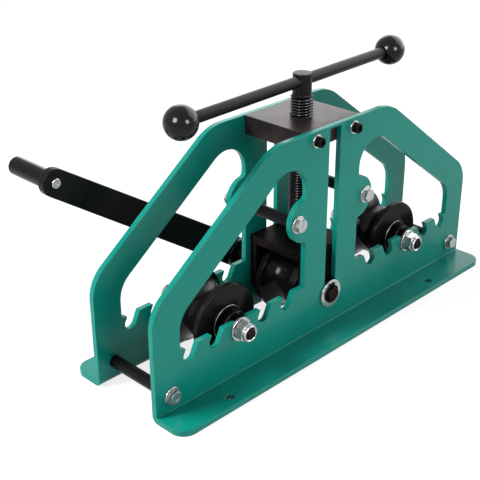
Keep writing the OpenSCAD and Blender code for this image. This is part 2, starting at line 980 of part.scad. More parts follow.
module crank_arm() {
    color(black_steel)
        difference() {
            translate([0, 0, shaft_height])
                rotate([0, crank_angle, 0])
                    along_y(arm_front_y, arm_thickness) {
                        circle(d = arm_width);
                        translate([-crank_length, 0])
                            circle(d = arm_width);
                        translate([-crank_length, -arm_width / 2])
                            square([crank_length, arm_width]);
                    }
            y_hole(0, shaft_height, arm_front_y, arm_back_y, shaft_d + 2 * seat_clearance);
            y_hole(
                handle_point.x, handle_point.y, arm_front_y, arm_back_y,
                handle_bolt_d + 2 * seat_clearance);
        }
}

module handle_bolt() {
    color(zinc) {
        y_bar(
            handle_point.x, handle_point.y, arm_front_y - handle_bolt_nose,
            handle_head_y + handle_head_h, handle_bolt_d, edge_break);
        y_bar(
            handle_point.x, handle_point.y, handle_head_y, handle_head_y + handle_head_h,
            handle_head_d, small_break);
    }
}

module crank_grip() {
    color(black_gloss)
        difference() {
            y_bar(handle_point.x, handle_point.y, grip_front_y, grip_back_y, grip_d, edge_break);
            y_hole(
                handle_point.x, handle_point.y, grip_front_y, grip_back_y,
                handle_bolt_d + 2 * run_clearance);
            y_hole(
                handle_point.x, handle_point.y, grip_back_y - grip_counterbore + overrun,
                grip_back_y, handle_head_d + 2 * end_gap);
        }
}

// Lead screw and cross bar

module lead_screw() {
    journal_r = journal_d / 2;
    groove_top = yoke_under_z + screw_ring_recess + small_break;
    groove_bottom = groove_top - ring_t - 2 * seat_clearance - end_gap / 2;
    color(black_steel)
        difference() {
            rotate_extrude()
                polygon([
                    [0, journal_bottom_z],
                    [journal_r - small_break, journal_bottom_z],
                    [journal_r, journal_bottom_z + small_break],
                    [journal_r, groove_bottom],
                    [journal_r - ring_groove, groove_bottom],
                    [journal_r - ring_groove, groove_top],
                    [journal_r, groove_top],
                    [journal_r, screw_shoulder_z],
                    [screw_d / 2 - edge_break, screw_shoulder_z],
                    [screw_d / 2, screw_shoulder_z + edge_break],
                    [screw_d / 2, thread_top_z - edge_break],
                    [screw_d / 2 - edge_break, thread_top_z],
                    [head_d / 2, thread_top_z],
                    [head_d / 2, head_top_z - edge_break],
                    [head_d / 2 - edge_break, head_top_z],
                    [0, head_top_z],
                ]);
            on_bar_line(-head_d / 2 - overrun)
                cylinder(d = bar_d + 2 * run_clearance, h = head_d + 2 * overrun);
        }
}

module screw_ring() {
    top = yoke_under_z + screw_ring_recess + small_break - end_gap / 2;
    color(black_steel)
        translate([0, 0, top - ring_t])
            linear_extrude(ring_t)
                difference() {
                    circle(r = journal_d / 2 + ring_width);
                    circle(r = journal_d / 2 - ring_groove + seat_clearance);
                    translate([-ring_width, 0])
                        square([2 * ring_width, journal_d]);
                }
}

// Puts its children on the cross bar's line, with their Z pointing along it to the right
module on_bar_line(along) {
    translate([0, 0, bar_z])
        rotate([0, 0, bar_turn])
            translate([along, 0, 0])
                rotate([0, 90, 0])
                    children();
}

module cross_bar() {
    half = ball_span / 2 - bar_end_inset;
    r = bar_d / 2;
    color(black_steel)
        on_bar_line(-bar_offset - half)
            rotate_extrude()
                polygon([
                    [0, 0], [r - edge_break, 0], [r, edge_break],
                    [r, 2 * half - edge_break], [r - edge_break, 2 * half], [0, 2 * half],
                ]);
}

// A ball on an end of the bar, flattened and bored on the side that faces the screw
module ball_knob(side) {
    color(black_gloss)
        on_bar_line(side * ball_span / 2 - bar_offset)
            mirror([0, 0, side > 0 ? 1 : 0])
                difference() {
                    sphere(d = ball_d);
                    translate([0, 0, ball_flat])
                        cylinder(r = ball_d, h = ball_d);
                    translate([0, 0, bar_end_inset - end_gap])
                        cylinder(d = bar_d + 2 * seat_clearance, h = ball_d);
                }
}

module left_ball_knob() {
    ball_knob(-1);
}

module right_ball_knob() {
    ball_knob(1);
}

// Moves the machine so that the centre of the bench bolt holes comes to the origin
module placed() {
    translate([foot_hole_shift, 0, 0])
        children();
}

placed() front_side_plate();
placed() rear_side_plate();
placed() top_block();
placed() lower_left_tie();
placed() lower_right_tie();
placed() upper_left_tie();
placed() upper_right_tie();
placed() tie_bolts();
placed() tie_washers();
placed() block_screws();
placed() block_washers();
placed() left_axle();
placed() right_axle();
placed() left_sleeve();
placed() right_sleeve();
placed() axle_spacers();
placed() axle_washers();
placed() axle_nuts();
placed() left_die();
placed() right_die();
placed() yoke_plate();
placed() yoke_front_cheek();
placed() yoke_rear_cheek();
placed() yoke_screws();
placed() shaft_bushes();
placed() drive_shaft();
placed() middle_die();
placed() die_key();
placed() guide_washers();
placed() shaft_rings();
placed() crank_hub();
placed() crank_arm();
placed() hub_set_screw();
placed() handle_bolt();
placed() crank_grip();
placed() lead_screw();
placed() screw_ring();
placed() cross_bar();
placed() left_ball_knob();
placed() right_ball_knob();
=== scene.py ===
"""Ring roller for the bench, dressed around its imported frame.

Every outline and profile is drawn in millimetres, about the middle of the machine: X runs along the
side plates, Y runs from the front plate to the crank, and Z is up. A piece is moved to the row
frame and turned into metres when its mesh is made.
"""
from __future__ import annotations

import logging
import math
from collections.abc import Callable, Mapping, Sequence
from dataclasses import dataclass, field
from enum import Enum
from typing import Any

import bmesh
import bpy
from mathutils import Matrix, Vector
from mathutils.geometry import delaunay_2d_cdt

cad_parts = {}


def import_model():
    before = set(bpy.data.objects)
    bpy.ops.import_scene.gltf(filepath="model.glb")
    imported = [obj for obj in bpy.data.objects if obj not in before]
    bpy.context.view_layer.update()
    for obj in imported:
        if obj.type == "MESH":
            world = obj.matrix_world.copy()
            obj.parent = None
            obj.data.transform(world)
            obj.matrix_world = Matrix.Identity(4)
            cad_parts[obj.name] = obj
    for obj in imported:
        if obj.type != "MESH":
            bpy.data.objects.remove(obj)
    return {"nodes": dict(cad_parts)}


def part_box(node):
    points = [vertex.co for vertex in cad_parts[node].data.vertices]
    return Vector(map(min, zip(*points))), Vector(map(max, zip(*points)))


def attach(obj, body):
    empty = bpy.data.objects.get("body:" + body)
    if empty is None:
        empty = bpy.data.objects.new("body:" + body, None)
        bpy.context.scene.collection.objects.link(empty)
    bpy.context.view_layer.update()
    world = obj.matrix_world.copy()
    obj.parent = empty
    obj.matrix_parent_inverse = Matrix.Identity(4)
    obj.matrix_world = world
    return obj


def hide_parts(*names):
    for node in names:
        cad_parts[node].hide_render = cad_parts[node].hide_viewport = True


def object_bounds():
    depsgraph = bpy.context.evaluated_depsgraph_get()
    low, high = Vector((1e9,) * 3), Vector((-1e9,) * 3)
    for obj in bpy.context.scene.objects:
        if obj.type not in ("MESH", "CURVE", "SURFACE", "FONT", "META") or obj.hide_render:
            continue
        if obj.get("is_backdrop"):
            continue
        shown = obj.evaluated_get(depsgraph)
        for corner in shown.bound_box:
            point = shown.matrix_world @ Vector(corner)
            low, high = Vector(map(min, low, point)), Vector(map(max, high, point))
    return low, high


Point = tuple[float, float]
Corner = tuple[float, float, float]
Outline = list[Point]
Colour = tuple[float, float, float]
Ring = list[bmesh.types.BMVert]

LOG = logging.getLogger("ring_roller")
MM = 0.001
FULL_TURN = 2 * math.pi
WHITE = (1, 1, 1, 1)
MIRROR = Matrix.Diagonal((1, -1, 1, 1))

# Points closer than this are one point, and a radius below the second is a tip
NEAR = 1e-3
TIP = 1e-6

# The largest turns between two points of a turned edge and of a block's corner, in degrees
EDGE_STEP = 22.5
CORNER_STEP = 30.0

# How far a hexagon's corners are turned off
CROWN_SHARE = 0.95
CROWN_SLOPE = math.tan(math.radians(30))

# How steep the flanks of a thread are, and how flat its crest is
FLANK = 2.6
CREST = 0.15

# Shared places and fits
PLATE_INNER = 39.75
PLATE_OUTER = 46.25
PLATE_TOP = 235.0
SHAFT_Z = 42.5
FIT = 0.02
CLEARANCE = 0.1
SHANK_LENGTH = 9.0
SHANK_OVERLAP = 0.3
THIN_WASHER = 1.6


def linear(colour: Colour) -> tuple[float, ...]:
    """Turns a display colour into the linear one that shaders take, with full opacity."""
    return (*(c / 12.92 if c <= 0.04045 else ((c + 0.055) / 1.055) ** 2.4 for c in colour), 1.0)


class Socket:
    """A shader value that takes part in Python arithmetic."""

    def __init__(self, graph: Graph, socket: bpy.types.NodeSocket) -> None:
        """Keeps the graph and the output socket that carries the value."""
        self.graph = graph
        self.socket = socket

    def _math(self, operation: str, first: Any, second: Any) -> Socket:
        """Adds one Math node on two values, each a Socket or a number."""
        node = self.graph.node("ShaderNodeMath", {"operation": operation}, {0: first, 1: second})
        return Socket(self.graph, node.outputs[0])

    def __add__(self, other: Any) -> Socket:
        """Adds a value."""
        return self._math("ADD", self, other)

    __radd__ = __add__

    def __sub__(self, other: Any) -> Socket:
        """Takes a value away."""
        return self._math("SUBTRACT", self, other)

    def __rsub__(self, other: Any) -> Socket:
        """Takes this value away from another."""
        return self._math("SUBTRACT", other, self)

    def __mul__(self, other: Any) -> Socket:
        """Multiplies by a value."""
        return self._math("MULTIPLY", self, other)

    __rmul__ = __mul__

    def largest(self, other: Any) -> Socket:
        """Gives the larger of two values."""
        return self._math("MAXIMUM", self, other)


class Graph:
    """The node tree of one material, or of the surroundings."""

    def __init__(self, owner: bpy.types.Material | bpy.types.World) -> None:
        """Empties a node tree.

        Args:
            owner: What the nodes belong to.
        """
        owner.use_nodes = True
        self.owner = owner
        self.tree = owner.node_tree
        self.tree.nodes.clear()

    @classmethod
    def of_material(cls, name: str) -> Graph:
        """Starts the graph of a new material."""
        return cls(bpy.data.materials.new(name))

    def node(self, kind: str, settings: Mapping[str, Any] | None = None,
             inputs: Mapping[Any, Any] | None = None) -> bpy.types.Node:
        """Adds a node, with its settings first and its sockets after them.

        Args:
            kind: The node's type.
            settings: Properties of the node; "stops" gives the stops of a colour ramp.
            inputs: A value, a Socket or an output socket for each input, by name or by index.

        Returns:
            The new node.
        """
        node = self.tree.nodes.new(kind)
        for key, value in (settings or {}).items():
            if key == "stops":
                self._stops(node, value)
            else:
                setattr(node, key, value)
        for key, value in (inputs or {}).items():
            source = value.socket if isinstance(value, Socket) else value
            if isinstance(source, bpy.types.NodeSocket):
                self.tree.links.new(source, node.inputs[key])
            else:
                node.inputs[key].default_value = source
        return node

    @staticmethod
    def _stops(node: bpy.types.Node, stops: Sequence[Point]) -> None:
        """Sets the grey stops of a colour ramp.

        Args:
            node: The ramp.
            stops: Pairs of position and grey level.
        """
        elements = node.color_ramp.elements
        while len(elements) < len(stops):
            elements.new(0.5)
        for element, (position, level) in zip(elements, stops):
            element.position = position
            element.color = (level, level, level, 1)

    def place(self) -> bpy.types.NodeSocket:
        """Gives the point on the surface, in metres in the row frame."""
        return self.node("ShaderNodeTexCoord").outputs["Object"]

    def stretched(self, factors: Colour) -> bpy.types.NodeSocket:
        """Gives the point on the surface with each axis scaled."""
        return self.node("ShaderNodeMapping", None, {"Vector": self.place(), "Scale": factors}).outputs[0]

    def noise(self, scale: float, detail: float = 2.0,
              vector: bpy.types.NodeSocket | None = None, distortion: float = 0.0) -> Socket:
        """Adds soft noise from 0 to 1.

        Args:
            scale: Cells in a metre.
            detail: Octaves of finer noise.
            vector: Where to read the noise; the plain point if left out.
            distortion: How far the noise is pulled about.

        Returns:
            The noise value.
        """
        node = self.node("ShaderNodeTexNoise", None, {
            "Vector": vector or self.place(), "Scale": scale, "Detail": detail,
            "Roughness": 0.55, "Distortion": distortion,
        })
        return Socket(self, node.outputs["Fac"])

    def drift(self, scale: float, amount: float, detail: float = 4.0) -> Socket:
        """Gives noise that sways about zero."""
        return (self.noise(scale, detail) - 0.5) * amount

    def ramp(self, value: Socket, *stops: Point) -> Socket:
        """Reshapes a value by grey stops."""
        node = self.node("ShaderNodeValToRGB", {"stops": stops}, {"Fac": value})
        return Socket(self, node.outputs["Color"])

    def mix(self, factor: Socket, first: Any, second: Any) -> bpy.types.NodeSocket:
        """Mixes two colours, each a linear colour or a colour socket."""
        node = self.node("ShaderNodeMix", {"data_type": "RGBA"}, {0: factor, 6: first, 7: second})
        return node.outputs[2]

    def bump(self, strength: float, distance: float, height: Socket) -> bpy.types.NodeSocket:
        """Gives the normal of a surface that is raised by a height, with the distance in metres."""
        inputs = {"Strength": strength, "Distance": distance, "Height": height}
        return self.node("ShaderNodeBump", None, inputs).outputs[0]

    def reach(self, point: Corner, mask: Corner) -> Socket:
        """Measures how far the surface is from a line along one axis.

        Args:
            point: A point of the line, in metres.
            mask: One for each axis across the line, zero for the axis along it.

        Returns:
            The distance, in metres.
        """
        arm = self.node("ShaderNodeVectorMath", {"operation": "SUBTRACT"}, {0: self.place(), 1: point})
        flat = self.node("ShaderNodeVectorMath", {"operation": "MULTIPLY"}, {0: arm.outputs[0], 1: mask})
        length = self.node("ShaderNodeVectorMath", {"operation": "LENGTH"}, {0: flat.outputs[0]})
        return Socket(self, length.outputs["Value"])

    def seen(self) -> Socket:
        """Tells the rays that the viewer sees by from those that light the object.

        Returns:
            One on a camera, glossy or transmission ray, and zero on any other.
        """
        paths = self.node("ShaderNodeLightPath").outputs
        camera = Socket(self, paths["Is Camera Ray"])
        return camera.largest(paths["Is Glossy Ray"]).largest(paths["Is Transmission Ray"])


@dataclass(frozen=True)
class Finish:
    """Two display colours, and how light meets the surface that they mix on."""

    name: str
    colour: Colour
    second: Colour
    roughness: float = 0.2
    metallic: float = 0.0
    gloss: float = 0.5
    edge: float = 1.0

    def mixed(self, graph: Graph, share: Socket) -> bpy.types.NodeSocket:
        """Mixes the two colours by the share of the second."""
        return graph.mix(share, linear(self.colour), linear(self.second))

    def ended(self, graph: Graph, colour: bpy.types.NodeSocket, drift: Socket,
              **normal: Any) -> bpy.types.Material:
        """Ends the graph in one Principled shader.

        Args:
            graph: The nodes of the finish.
            colour: Its base colour.
            drift: How the roughness varies over the surface.
            normal: The bumped normal, where there is one.

        Returns:
            The finished material.
        """
        shader = graph.node("ShaderNodeBsdfPrincipled", None, {
            "Base Color": colour, "Roughness": drift + self.roughness, "Metallic": self.metallic,
            "Specular IOR Level": self.gloss, "Specular Tint": (self.edge, self.edge, self.edge, 1), **normal,
        })
        graph.node("ShaderNodeOutputMaterial", None, {"Surface": shader.outputs[0]})
        return graph.owner


@dataclass(frozen=True)
class PowderCoat(Finish):
    """Sprayed and baked paint, with its faint orange peel."""

    peel_scale: float = 520.0
    peel_height: float = 0.10

    def build(self) -> bpy.types.Material:
        """Makes the material.

        Returns:
            The material.
        """
        g = Graph.of_material(self.name)
        cloud = g.ramp(g.noise(9.0, 3.0), (0.35, 0.0), (0.7, 1.0))
        peel = g.noise(self.peel_scale) + g.noise(self.peel_scale * 3, 1.0) * 0.3
        colour = self.mixed(g, cloud * 0.55 + g.noise(1500.0, 1.0) * 0.25)
        return self.ended(g, colour, g.drift(60.0, 0.12), Normal=g.bump(self.peel_height, 0.0006, peel))


@dataclass(frozen=True)
class BlackOxide(Finish):
    """Blackened steel with a brown cast and a ground grain."""

    roughness: float = 0.40
    metallic: float = 0.75
    edge: float = 0.7
    grain: Corner = (1.0, 14.0, 1.0)
    grain_height: float = 0.08

    def build(self) -> bpy.types.Material:
        """Makes the material.

        Returns:
            The material.
        """
        g = Graph.of_material(self.name)
        blotch = g.ramp(g.noise(34.0, 5.0, distortion=0.4), (0.36, 0.0), (0.68, 1.0))
        lines = g.noise(260.0, 3.0, g.stretched(self.grain))
        normal = g.bump(self.grain_height, 0.0003, lines + g.noise(1800.0) * 0.4)
        return self.ended(g, self.mixed(g, blotch * 0.8), (lines - 0.5) * 0.16 + g.drift(45.0, 0.18),
                          Normal=normal)


@dataclass(frozen=True)
class TurnedSteel(Finish):
    """Steel turned about an axis along Y, with the tool's fine rings and a painted highlight: a light ring on
    the hub's worn edge.
    """

    metallic: float = 0.55
    gloss: float = 0.3
    edge: float = 0.3
    axis: Point = (0.0, 0.0)
    ring_scale: float = 2600.0
    ring_height: float = 0.05
    # Light grey of the painted highlight ring on the hub's worn edge, at this radius and beyond this distance
    # from the middle
    worn_edge_highlight: Colour = (0.58, 0.56, 0.54)
    highlight_radius: float = 19.0
    highlight_from: float = 29.5

    def build(self) -> bpy.types.Material:
        """Makes the material.

        Returns:
            The material.
        """
        g = Graph.of_material(self.name)
        reach = g.reach((self.axis[0] * MM, 0.0, self.axis[1] * MM), (1, 0, 1))
        along = Socket(g, g.node("ShaderNodeSeparateXYZ", None, {0: g.place()}).outputs[1])
        track = g.node("ShaderNodeCombineXYZ", None, {0: reach, 1: along, 2: 0.0}).outputs[0]
        rings = g.noise(self.ring_scale, 2.0, track)
        smear = g.ramp(g.noise(38.0, 4.0), (0.3, 0.0), (0.75, 1.0))
        # Painted highlight: a thin ring at the hub's edge, on the outer sides only, takes the light grey
        # colour
        highlight_band = g.ramp(reach * (1 / MM) - (self.highlight_radius - 0.5),
                      (0.0, 0.0), (0.2, 1.0), (0.7, 1.0), (0.95, 0.0))
        highlight_sides = g.ramp((along * along - (self.highlight_from * MM) ** 2) * 5e4, (0.1, 0.0), (0.4, 1.0))
        dark = self.mixed(g, smear * 0.7 + rings * 0.2)
        return self.ended(g, g.mix(highlight_band * highlight_sides, dark, linear(self.worn_edge_highlight)),
                          (rings - 0.5) * 0.10 + g.drift(90.0, 0.14),
                          Normal=g.bump(self.ring_height, 0.0002, rings))


@dataclass(frozen=True)
class ThreadedSteel(Finish):
    """Oiled steel about an axis along Z, with a painted highlight on the crests of its thread, which are
    lighter than the darker, shaded-looking roots.
    """

    metallic: float = 0.7
    edge: float = 0.5
    axis: Point = (0.0, 0.0)
    lit_crest_from: float = 11.4

    def build(self) -> bpy.types.Material:
        """Makes the material.

        Returns:
            The material.
        """
        g = Graph.of_material(self.name)
        reach = g.reach((self.axis[0] * MM, self.axis[1] * MM, 0.0), (1, 1, 0))
        # Painted highlight and shade: the crests, found by their distance from the axis, take the light
        # second colour, and the roots stay dark
        lit_crest = g.ramp(reach * (1 / MM) - self.lit_crest_from, (0.0, 0.0), (0.35, 1.0))
        return self.ended(g, self.mixed(g, lit_crest), g.drift(120.0, 0.12))


@dataclass(frozen=True)
class ZincPlate(Finish):
    """Bright plating or plain metal on a small part, a little cloudy."""

    metallic: float = 0.9

    def build(self) -> bpy.types.Material:
        """Makes the material.

        Returns:
            The material.
        """
        g = Graph.of_material(self.name)
        cloud = g.ramp(g.noise(220.0, 4.0, distortion=0.6), (0.35, 0.0), (0.7, 1.0))
        return self.ended(g, self.mixed(g, cloud * 0.6), g.drift(500.0, 0.16, 3.0),
                          Normal=g.bump(0.07, 0.0002, g.noise(1400.0, 3.0)))


@dataclass(frozen=True)
class MouldedPlastic(Finish):
    """Glossy black moulding of the knobs and the grip."""

    def build(self) -> bpy.types.Material:
        """Makes the material.

        Returns:
            The material.
        """
        g = Graph.of_material(self.name)
        wave = g.noise(70.0)
        dust = g.ramp(g.noise(1100.0), (0.62, 0.0), (0.85, 1.0))
        return self.ended(g, self.mixed(g, dust * 0.35), dust * 0.12 + (wave - 0.5) * 0.05,
                          Normal=g.bump(0.04, 0.0006, wave))


class Slot(Enum):
    """The record's material slots."""

    GREEN = "green_paint"
    OXIDE = "black_oxide"
    PAINT = "black_paint"
    DIE = "die_steel"
    ZINC = "zinc"
    PLASTIC = "black_plastic"


class Body(Enum):
    """The bodies that pieces ride on."""

    FRAME = "frame"
    LEFT_ROLL = "left_roll"
    RIGHT_ROLL = "right_roll"
    CARRIAGE = "carriage"
    DRIVE = "drive"
    GRIP = "grip"
    SCREW = "screw"
    BAR = "handle_bar"


def arc(centre: Point, radius: float, start: float, end: float, step: float = 6.0) -> Outline:
    """Gives the points of an arc.

    Args:
        centre: The arc's centre.
        radius: The arc's radius.
        start: The first angle, in degrees.
        end: The last angle, in degrees.
        step: The largest turn between two points, in degrees.

    Returns:
        The points, both ends included.
    """
    count = max(2, math.ceil(abs(end - start) / step))
    turns = [math.radians(start + (end - start) * i / count) for i in range(count + 1)]
    return [(centre[0] + radius * math.cos(a), centre[1] + radius * math.sin(a)) for a in turns]


def circle(centre: Point, radius: float, count: int) -> Outline:
    """Gives the points of a whole circle, counter-clockwise."""
    return arc(centre, radius, 0, 360, 360 / count)[:-1]


def rounded(path: Sequence[Corner], closed: bool = True, step: float = 6.0) -> Outline:
    """Rounds the corners of an outline, each by its own radius.

    Args:
        path: Vertices as two coordinates and a radius.
        closed: Whether the last vertex joins the first; an open run keeps its ends sharp.
        step: The largest turn between two points of a corner, in degrees.

    Returns:
        The points of the outline.
    """
    points: Outline = []
    count = len(path)
    for i, (x, z, radius) in enumerate(path):
        if radius <= 0 or (not closed and i in (0, count - 1)):
            points.append((x, z))
            continue
        at = Vector((x, z))
        back = (Vector(path[i - 1][:2]) - at).normalized()
        ahead = (Vector(path[(i + 1) % count][:2]) - at).normalized()
        half = math.acos(max(-1.0, min(1.0, back.dot(ahead)))) / 2
        centre = at + (back + ahead).normalized() * radius / math.sin(half)
        first = at + back * radius / math.tan(half) - centre
        last = at + ahead * radius / math.tan(half) - centre
        start = math.degrees(math.atan2(first.y, first.x))
        turn = (math.degrees(math.atan2(last.y, last.x)) - start + 180) % 360 - 180
        points += arc((centre.x, centre.y), radius, start, start + turn, step)
    return distinct(points)


def rectangle(half_x: float, half_y: float, corner: float) -> Outline:
    """Gives a rectangle about the origin with rounded corners."""
    signs = ((-1, -1), (1, -1), (1, 1), (-1, 1))
    return rounded([(x * half_x, y * half_y, corner) for x, y in signs], step=CORNER_STEP)


def distinct(points: Outline) -> Outline:
    """Drops each point that lies on the one before it."""
    return [p for i, p in enumerate(points) if i == 0 or math.dist(p, points[i - 1]) > NEAR]


def area(outline: Sequence[Point]) -> float:
    """Gives the signed area of an outline, positive when it runs counter-clockwise."""
    following = [*outline[1:], outline[0]]
    return sum(a[0] * b[1] - b[0] * a[1] for a, b in zip(outline, following)) / 2


def inset(outline: Sequence[Point], distance: float) -> Outline:
    """Moves every side of an outline to its left.

    Args:
        outline: The points, with the material on the left.
        distance: How far the sides move.

    Returns:
        The moved points.
    """
    moved: Outline = []
    count = len(outline)
    for i, point in enumerate(outline):
        before = Vector(point) - Vector(outline[i - 1])
        after = Vector(outline[(i + 1) % count]) - Vector(point)
        first = Vector((-before.y, before.x)).normalized()
        second = Vector((-after.y, after.x)).normalized()
        shift = (first + second) * (distance / (1 + first.dot(second)))
        moved.append((point[0] + shift.x, point[1] + shift.y))
    return moved


def closed_loop(outline: Outline) -> Outline:
    """Drops repeated points, and a last point that lies on the first."""
    points = distinct(outline)
    return points[:-1] if math.dist(points[0], points[-1]) < NEAR else points


def linked(name: str, data: bpy.types.ID) -> bpy.types.Object:
    """Makes an object and puts it into the scene.

    Args:
        name: The object's name.
        data: Its mesh, lamp or camera.

    Returns:
        The new object.
    """
    item = bpy.data.objects.new(name, data)
    bpy.context.scene.collection.objects.link(item)
    return item


class Solid:
    """The mesh of one piece while it is being built, in millimetres."""

    def __init__(self) -> None:
        """Starts with an empty mesh."""
        self.mesh = bmesh.new()

    def _ring(self, radii: Sequence[float], heights: Sequence[float]) -> Ring:
        """Adds a ring of vertices about Z, evenly spaced round it.

        Args:
            radii: The radius of each vertex.
            heights: The height of each vertex.

        Returns:
            The vertices.
        """
        turns = [FULL_TURN * i / len(radii) for i in range(len(radii))]
        return [self.mesh.verts.new((r * math.cos(a), r * math.sin(a), h))
                for a, r, h in zip(turns, radii, heights)]

    def _strip(self, low: Ring, high: Ring) -> None:
        """Joins two rings by a band of faces.

        Args:
            low: The lower ring, or one vertex as a tip.
            high: The upper ring, or one vertex as a tip.
        """
        count = max(len(low), len(high))
        for i in range(count):
            j = (i + 1) % count
            corners = (low[i % len(low)], low[j % len(low)], high[j % len(high)], high[i % len(high)])
            self.mesh.faces.new(tuple(dict.fromkeys(corners)))

    def _skin(self, rings: Sequence[Ring], closed: bool) -> Solid:
        """Turns a stack of rings into a closed surface.

        Args:
            rings: The rings, from the bottom up.
            closed: Whether the last ring joins the first; if not, both ends are tips or get a face.

        Returns:
            This solid.
        """
        for low, high in zip(rings, rings[1:]):
            self._strip(low, high)
        if closed:
            self._strip(rings[-1], rings[0])
        elif len(rings[0]) > 1:
            self.mesh.faces.new(rings[0][::-1])
            self.mesh.faces.new(rings[-1])
        return self

    def _cap(self, loops: Sequence[Ring], downwards: bool) -> None:
        """Fills the flat between an outer loop and its openings.

        Args:
            loops: The rings of vertices, the outer one first.
            downwards: Whether the face looks along -Z.
        """
        verts = [v for loop in loops for v in loop]
        rings: list[list[int]] = []
        for loop in loops:
            start = sum(map(len, rings))
            ring = list(range(start, start + len(loop)))
            rings.append(ring[::-1] if rings else ring)
        flat = [Vector((v.co.x, v.co.y)) for v in verts]
        _, _, faces, origin, _, owners = delaunay_2d_cdt(flat, [], rings, 1, TIP)
        for face, owner in zip(faces, owners):
            if list(owner) != [0]:
                continue
            corners = [verts[origin[i][0]] for i in face]
            turn = area([(v.co.x, v.co.y) for v in corners])
            if (turn > 0) == downwards:
                corners.reverse()
            self.mesh.faces.new(corners)

    def prism(self, outline: Outline, holes: Sequence[Outline], depth: float, edge: float,
              steps: int = 3) -> Solid:
        """Adds a flat plate that lies in XY and rises along Z, with rounded rims.

        Args:
            outline: Its outer outline.
            holes: The outlines of its openings.
            depth: Its thickness.
            edge: The radius of its rims.
            steps: The bands in each rim.

        Returns:
            This solid.
        """
        loops = [closed_loop(loop) for loop in (outline, *holes)]
        loops = [loop if (area(loop) > 0) == (i == 0) else loop[::-1] for i, loop in enumerate(loops)]
        turns = [math.pi / 2 * i / steps for i in range(steps + 1)]
        levels = [(edge * (1 - math.sin(a)), edge * (1 - math.cos(a))) for a in turns]
        levels += [(shift, depth - rise) for shift, rise in reversed(levels)]
        rings = [
            [[self.mesh.verts.new((x, y, rise)) for x, y in inset(loop, shift)] for loop in loops]
            for shift, rise in levels
        ]
        for low, high in zip(rings, rings[1:]):
            for low_loop, high_loop in zip(low, high):
                self._strip(low_loop, high_loop)
        self._cap(rings[0], True)
        self._cap(rings[-1], False)
        return self

    def turned(self, profile: Sequence[Point], segments: int, ring: bool = False,
               knurl: Callable[[int, float, float], float] | None = None) -> Solid:
        """Adds a body turned about Z.

        Args:
            profile: Pairs of radius and height, from the bottom outwards and up.
            segments: The steps round the axis.
            ring: Whether the profile closes on itself, as that of a washer does.
            knurl: Gives the radius at a step, for ridges round the body.

        Returns:
            This solid.
        """
        rings: list[Ring] = []
        for radius, height in profile:
            radii = [knurl(i, radius, height) if knurl else radius for i in range(segments)]
            if radius < TIP:
                radii = [0.0]
            rings.append(self._ring(radii, [height] * len(radii)))
        return self._skin(rings, ring)

    def lathed(self, path: Sequence[Corner], segments: int, ring: bool = False) -> Solid:
        """Adds a body turned about Z whose profile has rounded corners."""
        return self.turned(rounded(path, closed=ring, step=EDGE_STEP), segments, ring)

    def rod(self, radius: float, low: float, high: float, segments: int, foot: float = 0.0,
            head: float = 0.0) -> Solid:
        """Adds a plain round bar along Z.

        Args:
            radius: Its radius.
            low: Where it starts.
            high: Where it ends.
            segments: The steps round the axis.
            foot: The radius of its lower edge.
            head: The radius of its upper edge.

        Returns:
            This solid.
        """
        return self.lathed([(0, low, 0), (radius, low, foot), (radius, high, head), (0, high, 0)], segments)

    def shank(self, radius: float) -> Solid:
        """Adds the shank of a bolt whose head stands on XY."""
        return self.join(Solid().rod(radius, -SHANK_LENGTH, SHANK_OVERLAP, 24))

    def tube(self, bore: float, radius: float, height: float, edges: Sequence[float],
             segments: int) -> Solid:
        """Adds a ring that stands on XY.

        Args:
            bore: The radius of its hole.
            radius: Its outer radius.
            height: Its height.
            edges: The radii of its four edges, from the foot of the hole outwards and up.
            segments: The steps round the axis.

        Returns:
            This solid.
        """
        corners = ((bore, 0), (radius, 0), (radius, height), (bore, height))
        return self.lathed([(*corner, edge) for corner, edge in zip(corners, edges)], segments, True)

    def hexagon(self, flats: float, height: float, bore: float = 0.0, both_ends: bool = False,
                per_side: int = 10) -> Solid:
        """Adds a hexagon whose corners are turned off at a cone, as on a bolt head or a nut.

        Args:
            flats: The width across the flats.
            height: The height along Z.
            bore: The radius of its hole, or zero.
            both_ends: Whether the lower corners are turned off too.
            per_side: The steps along each flat.

        Returns:
            This solid.
        """
        segments = 6 * per_side
        inner = flats / 2
        crown = inner * CROWN_SHARE
        turns = [FULL_TURN * i / segments for i in range(segments)]
        reach = [inner / math.cos((a + math.pi / 6) % (math.pi / 3) - math.pi / 6) for a in turns]
        falls = [(r - crown) * CROWN_SLOPE for r in reach]
        crowns, bores = [crown] * segments, [bore] * segments
        floor, top = [0.0] * segments, [height] * segments
        rows = [(crowns, floor), (reach, falls)] if both_ends else [(reach, floor)]
        rows += [(reach, [height - fall for fall in falls]), (crowns, top)]
        if bore > 0:
            rows = [(bores, floor), *rows, (bores, top)]
        return self._skin([self._ring(radii, heights) for radii, heights in rows], bore > 0)

    def thread(self, major: float, depth: float, pitch: float, low: float, high: float,
               segments: int, rows: int = 8) -> Solid:
        """Adds a right-hand screw thread about Z.

        Args:
            major: The radius over the crests.
            depth: The depth of the thread.
            pitch: The rise of one turn.
            low: Where it starts.
            high: Where it ends.
            segments: The steps round the axis.
            rows: The rings to a turn.

        Returns:
            This solid.
        """
        count = round((high - low) / pitch * rows)
        rings: list[Ring] = []
        for k in range(count + 1):
            height = low + (high - low) * k / count
            fade = min(1.0, (height - low) / pitch, (high - height) / pitch)
            phases = [(height / pitch - i / segments) % 1.0 for i in range(segments)]
            waves = [min(1.0, max(0.0, abs(phase - 0.5) * FLANK - CREST)) for phase in phases]
            radii = [major - depth * (wave * fade + (1 - fade)) for wave in waves]
            rings.append(self._ring(radii, [height] * segments))
        return self._skin(rings, False)

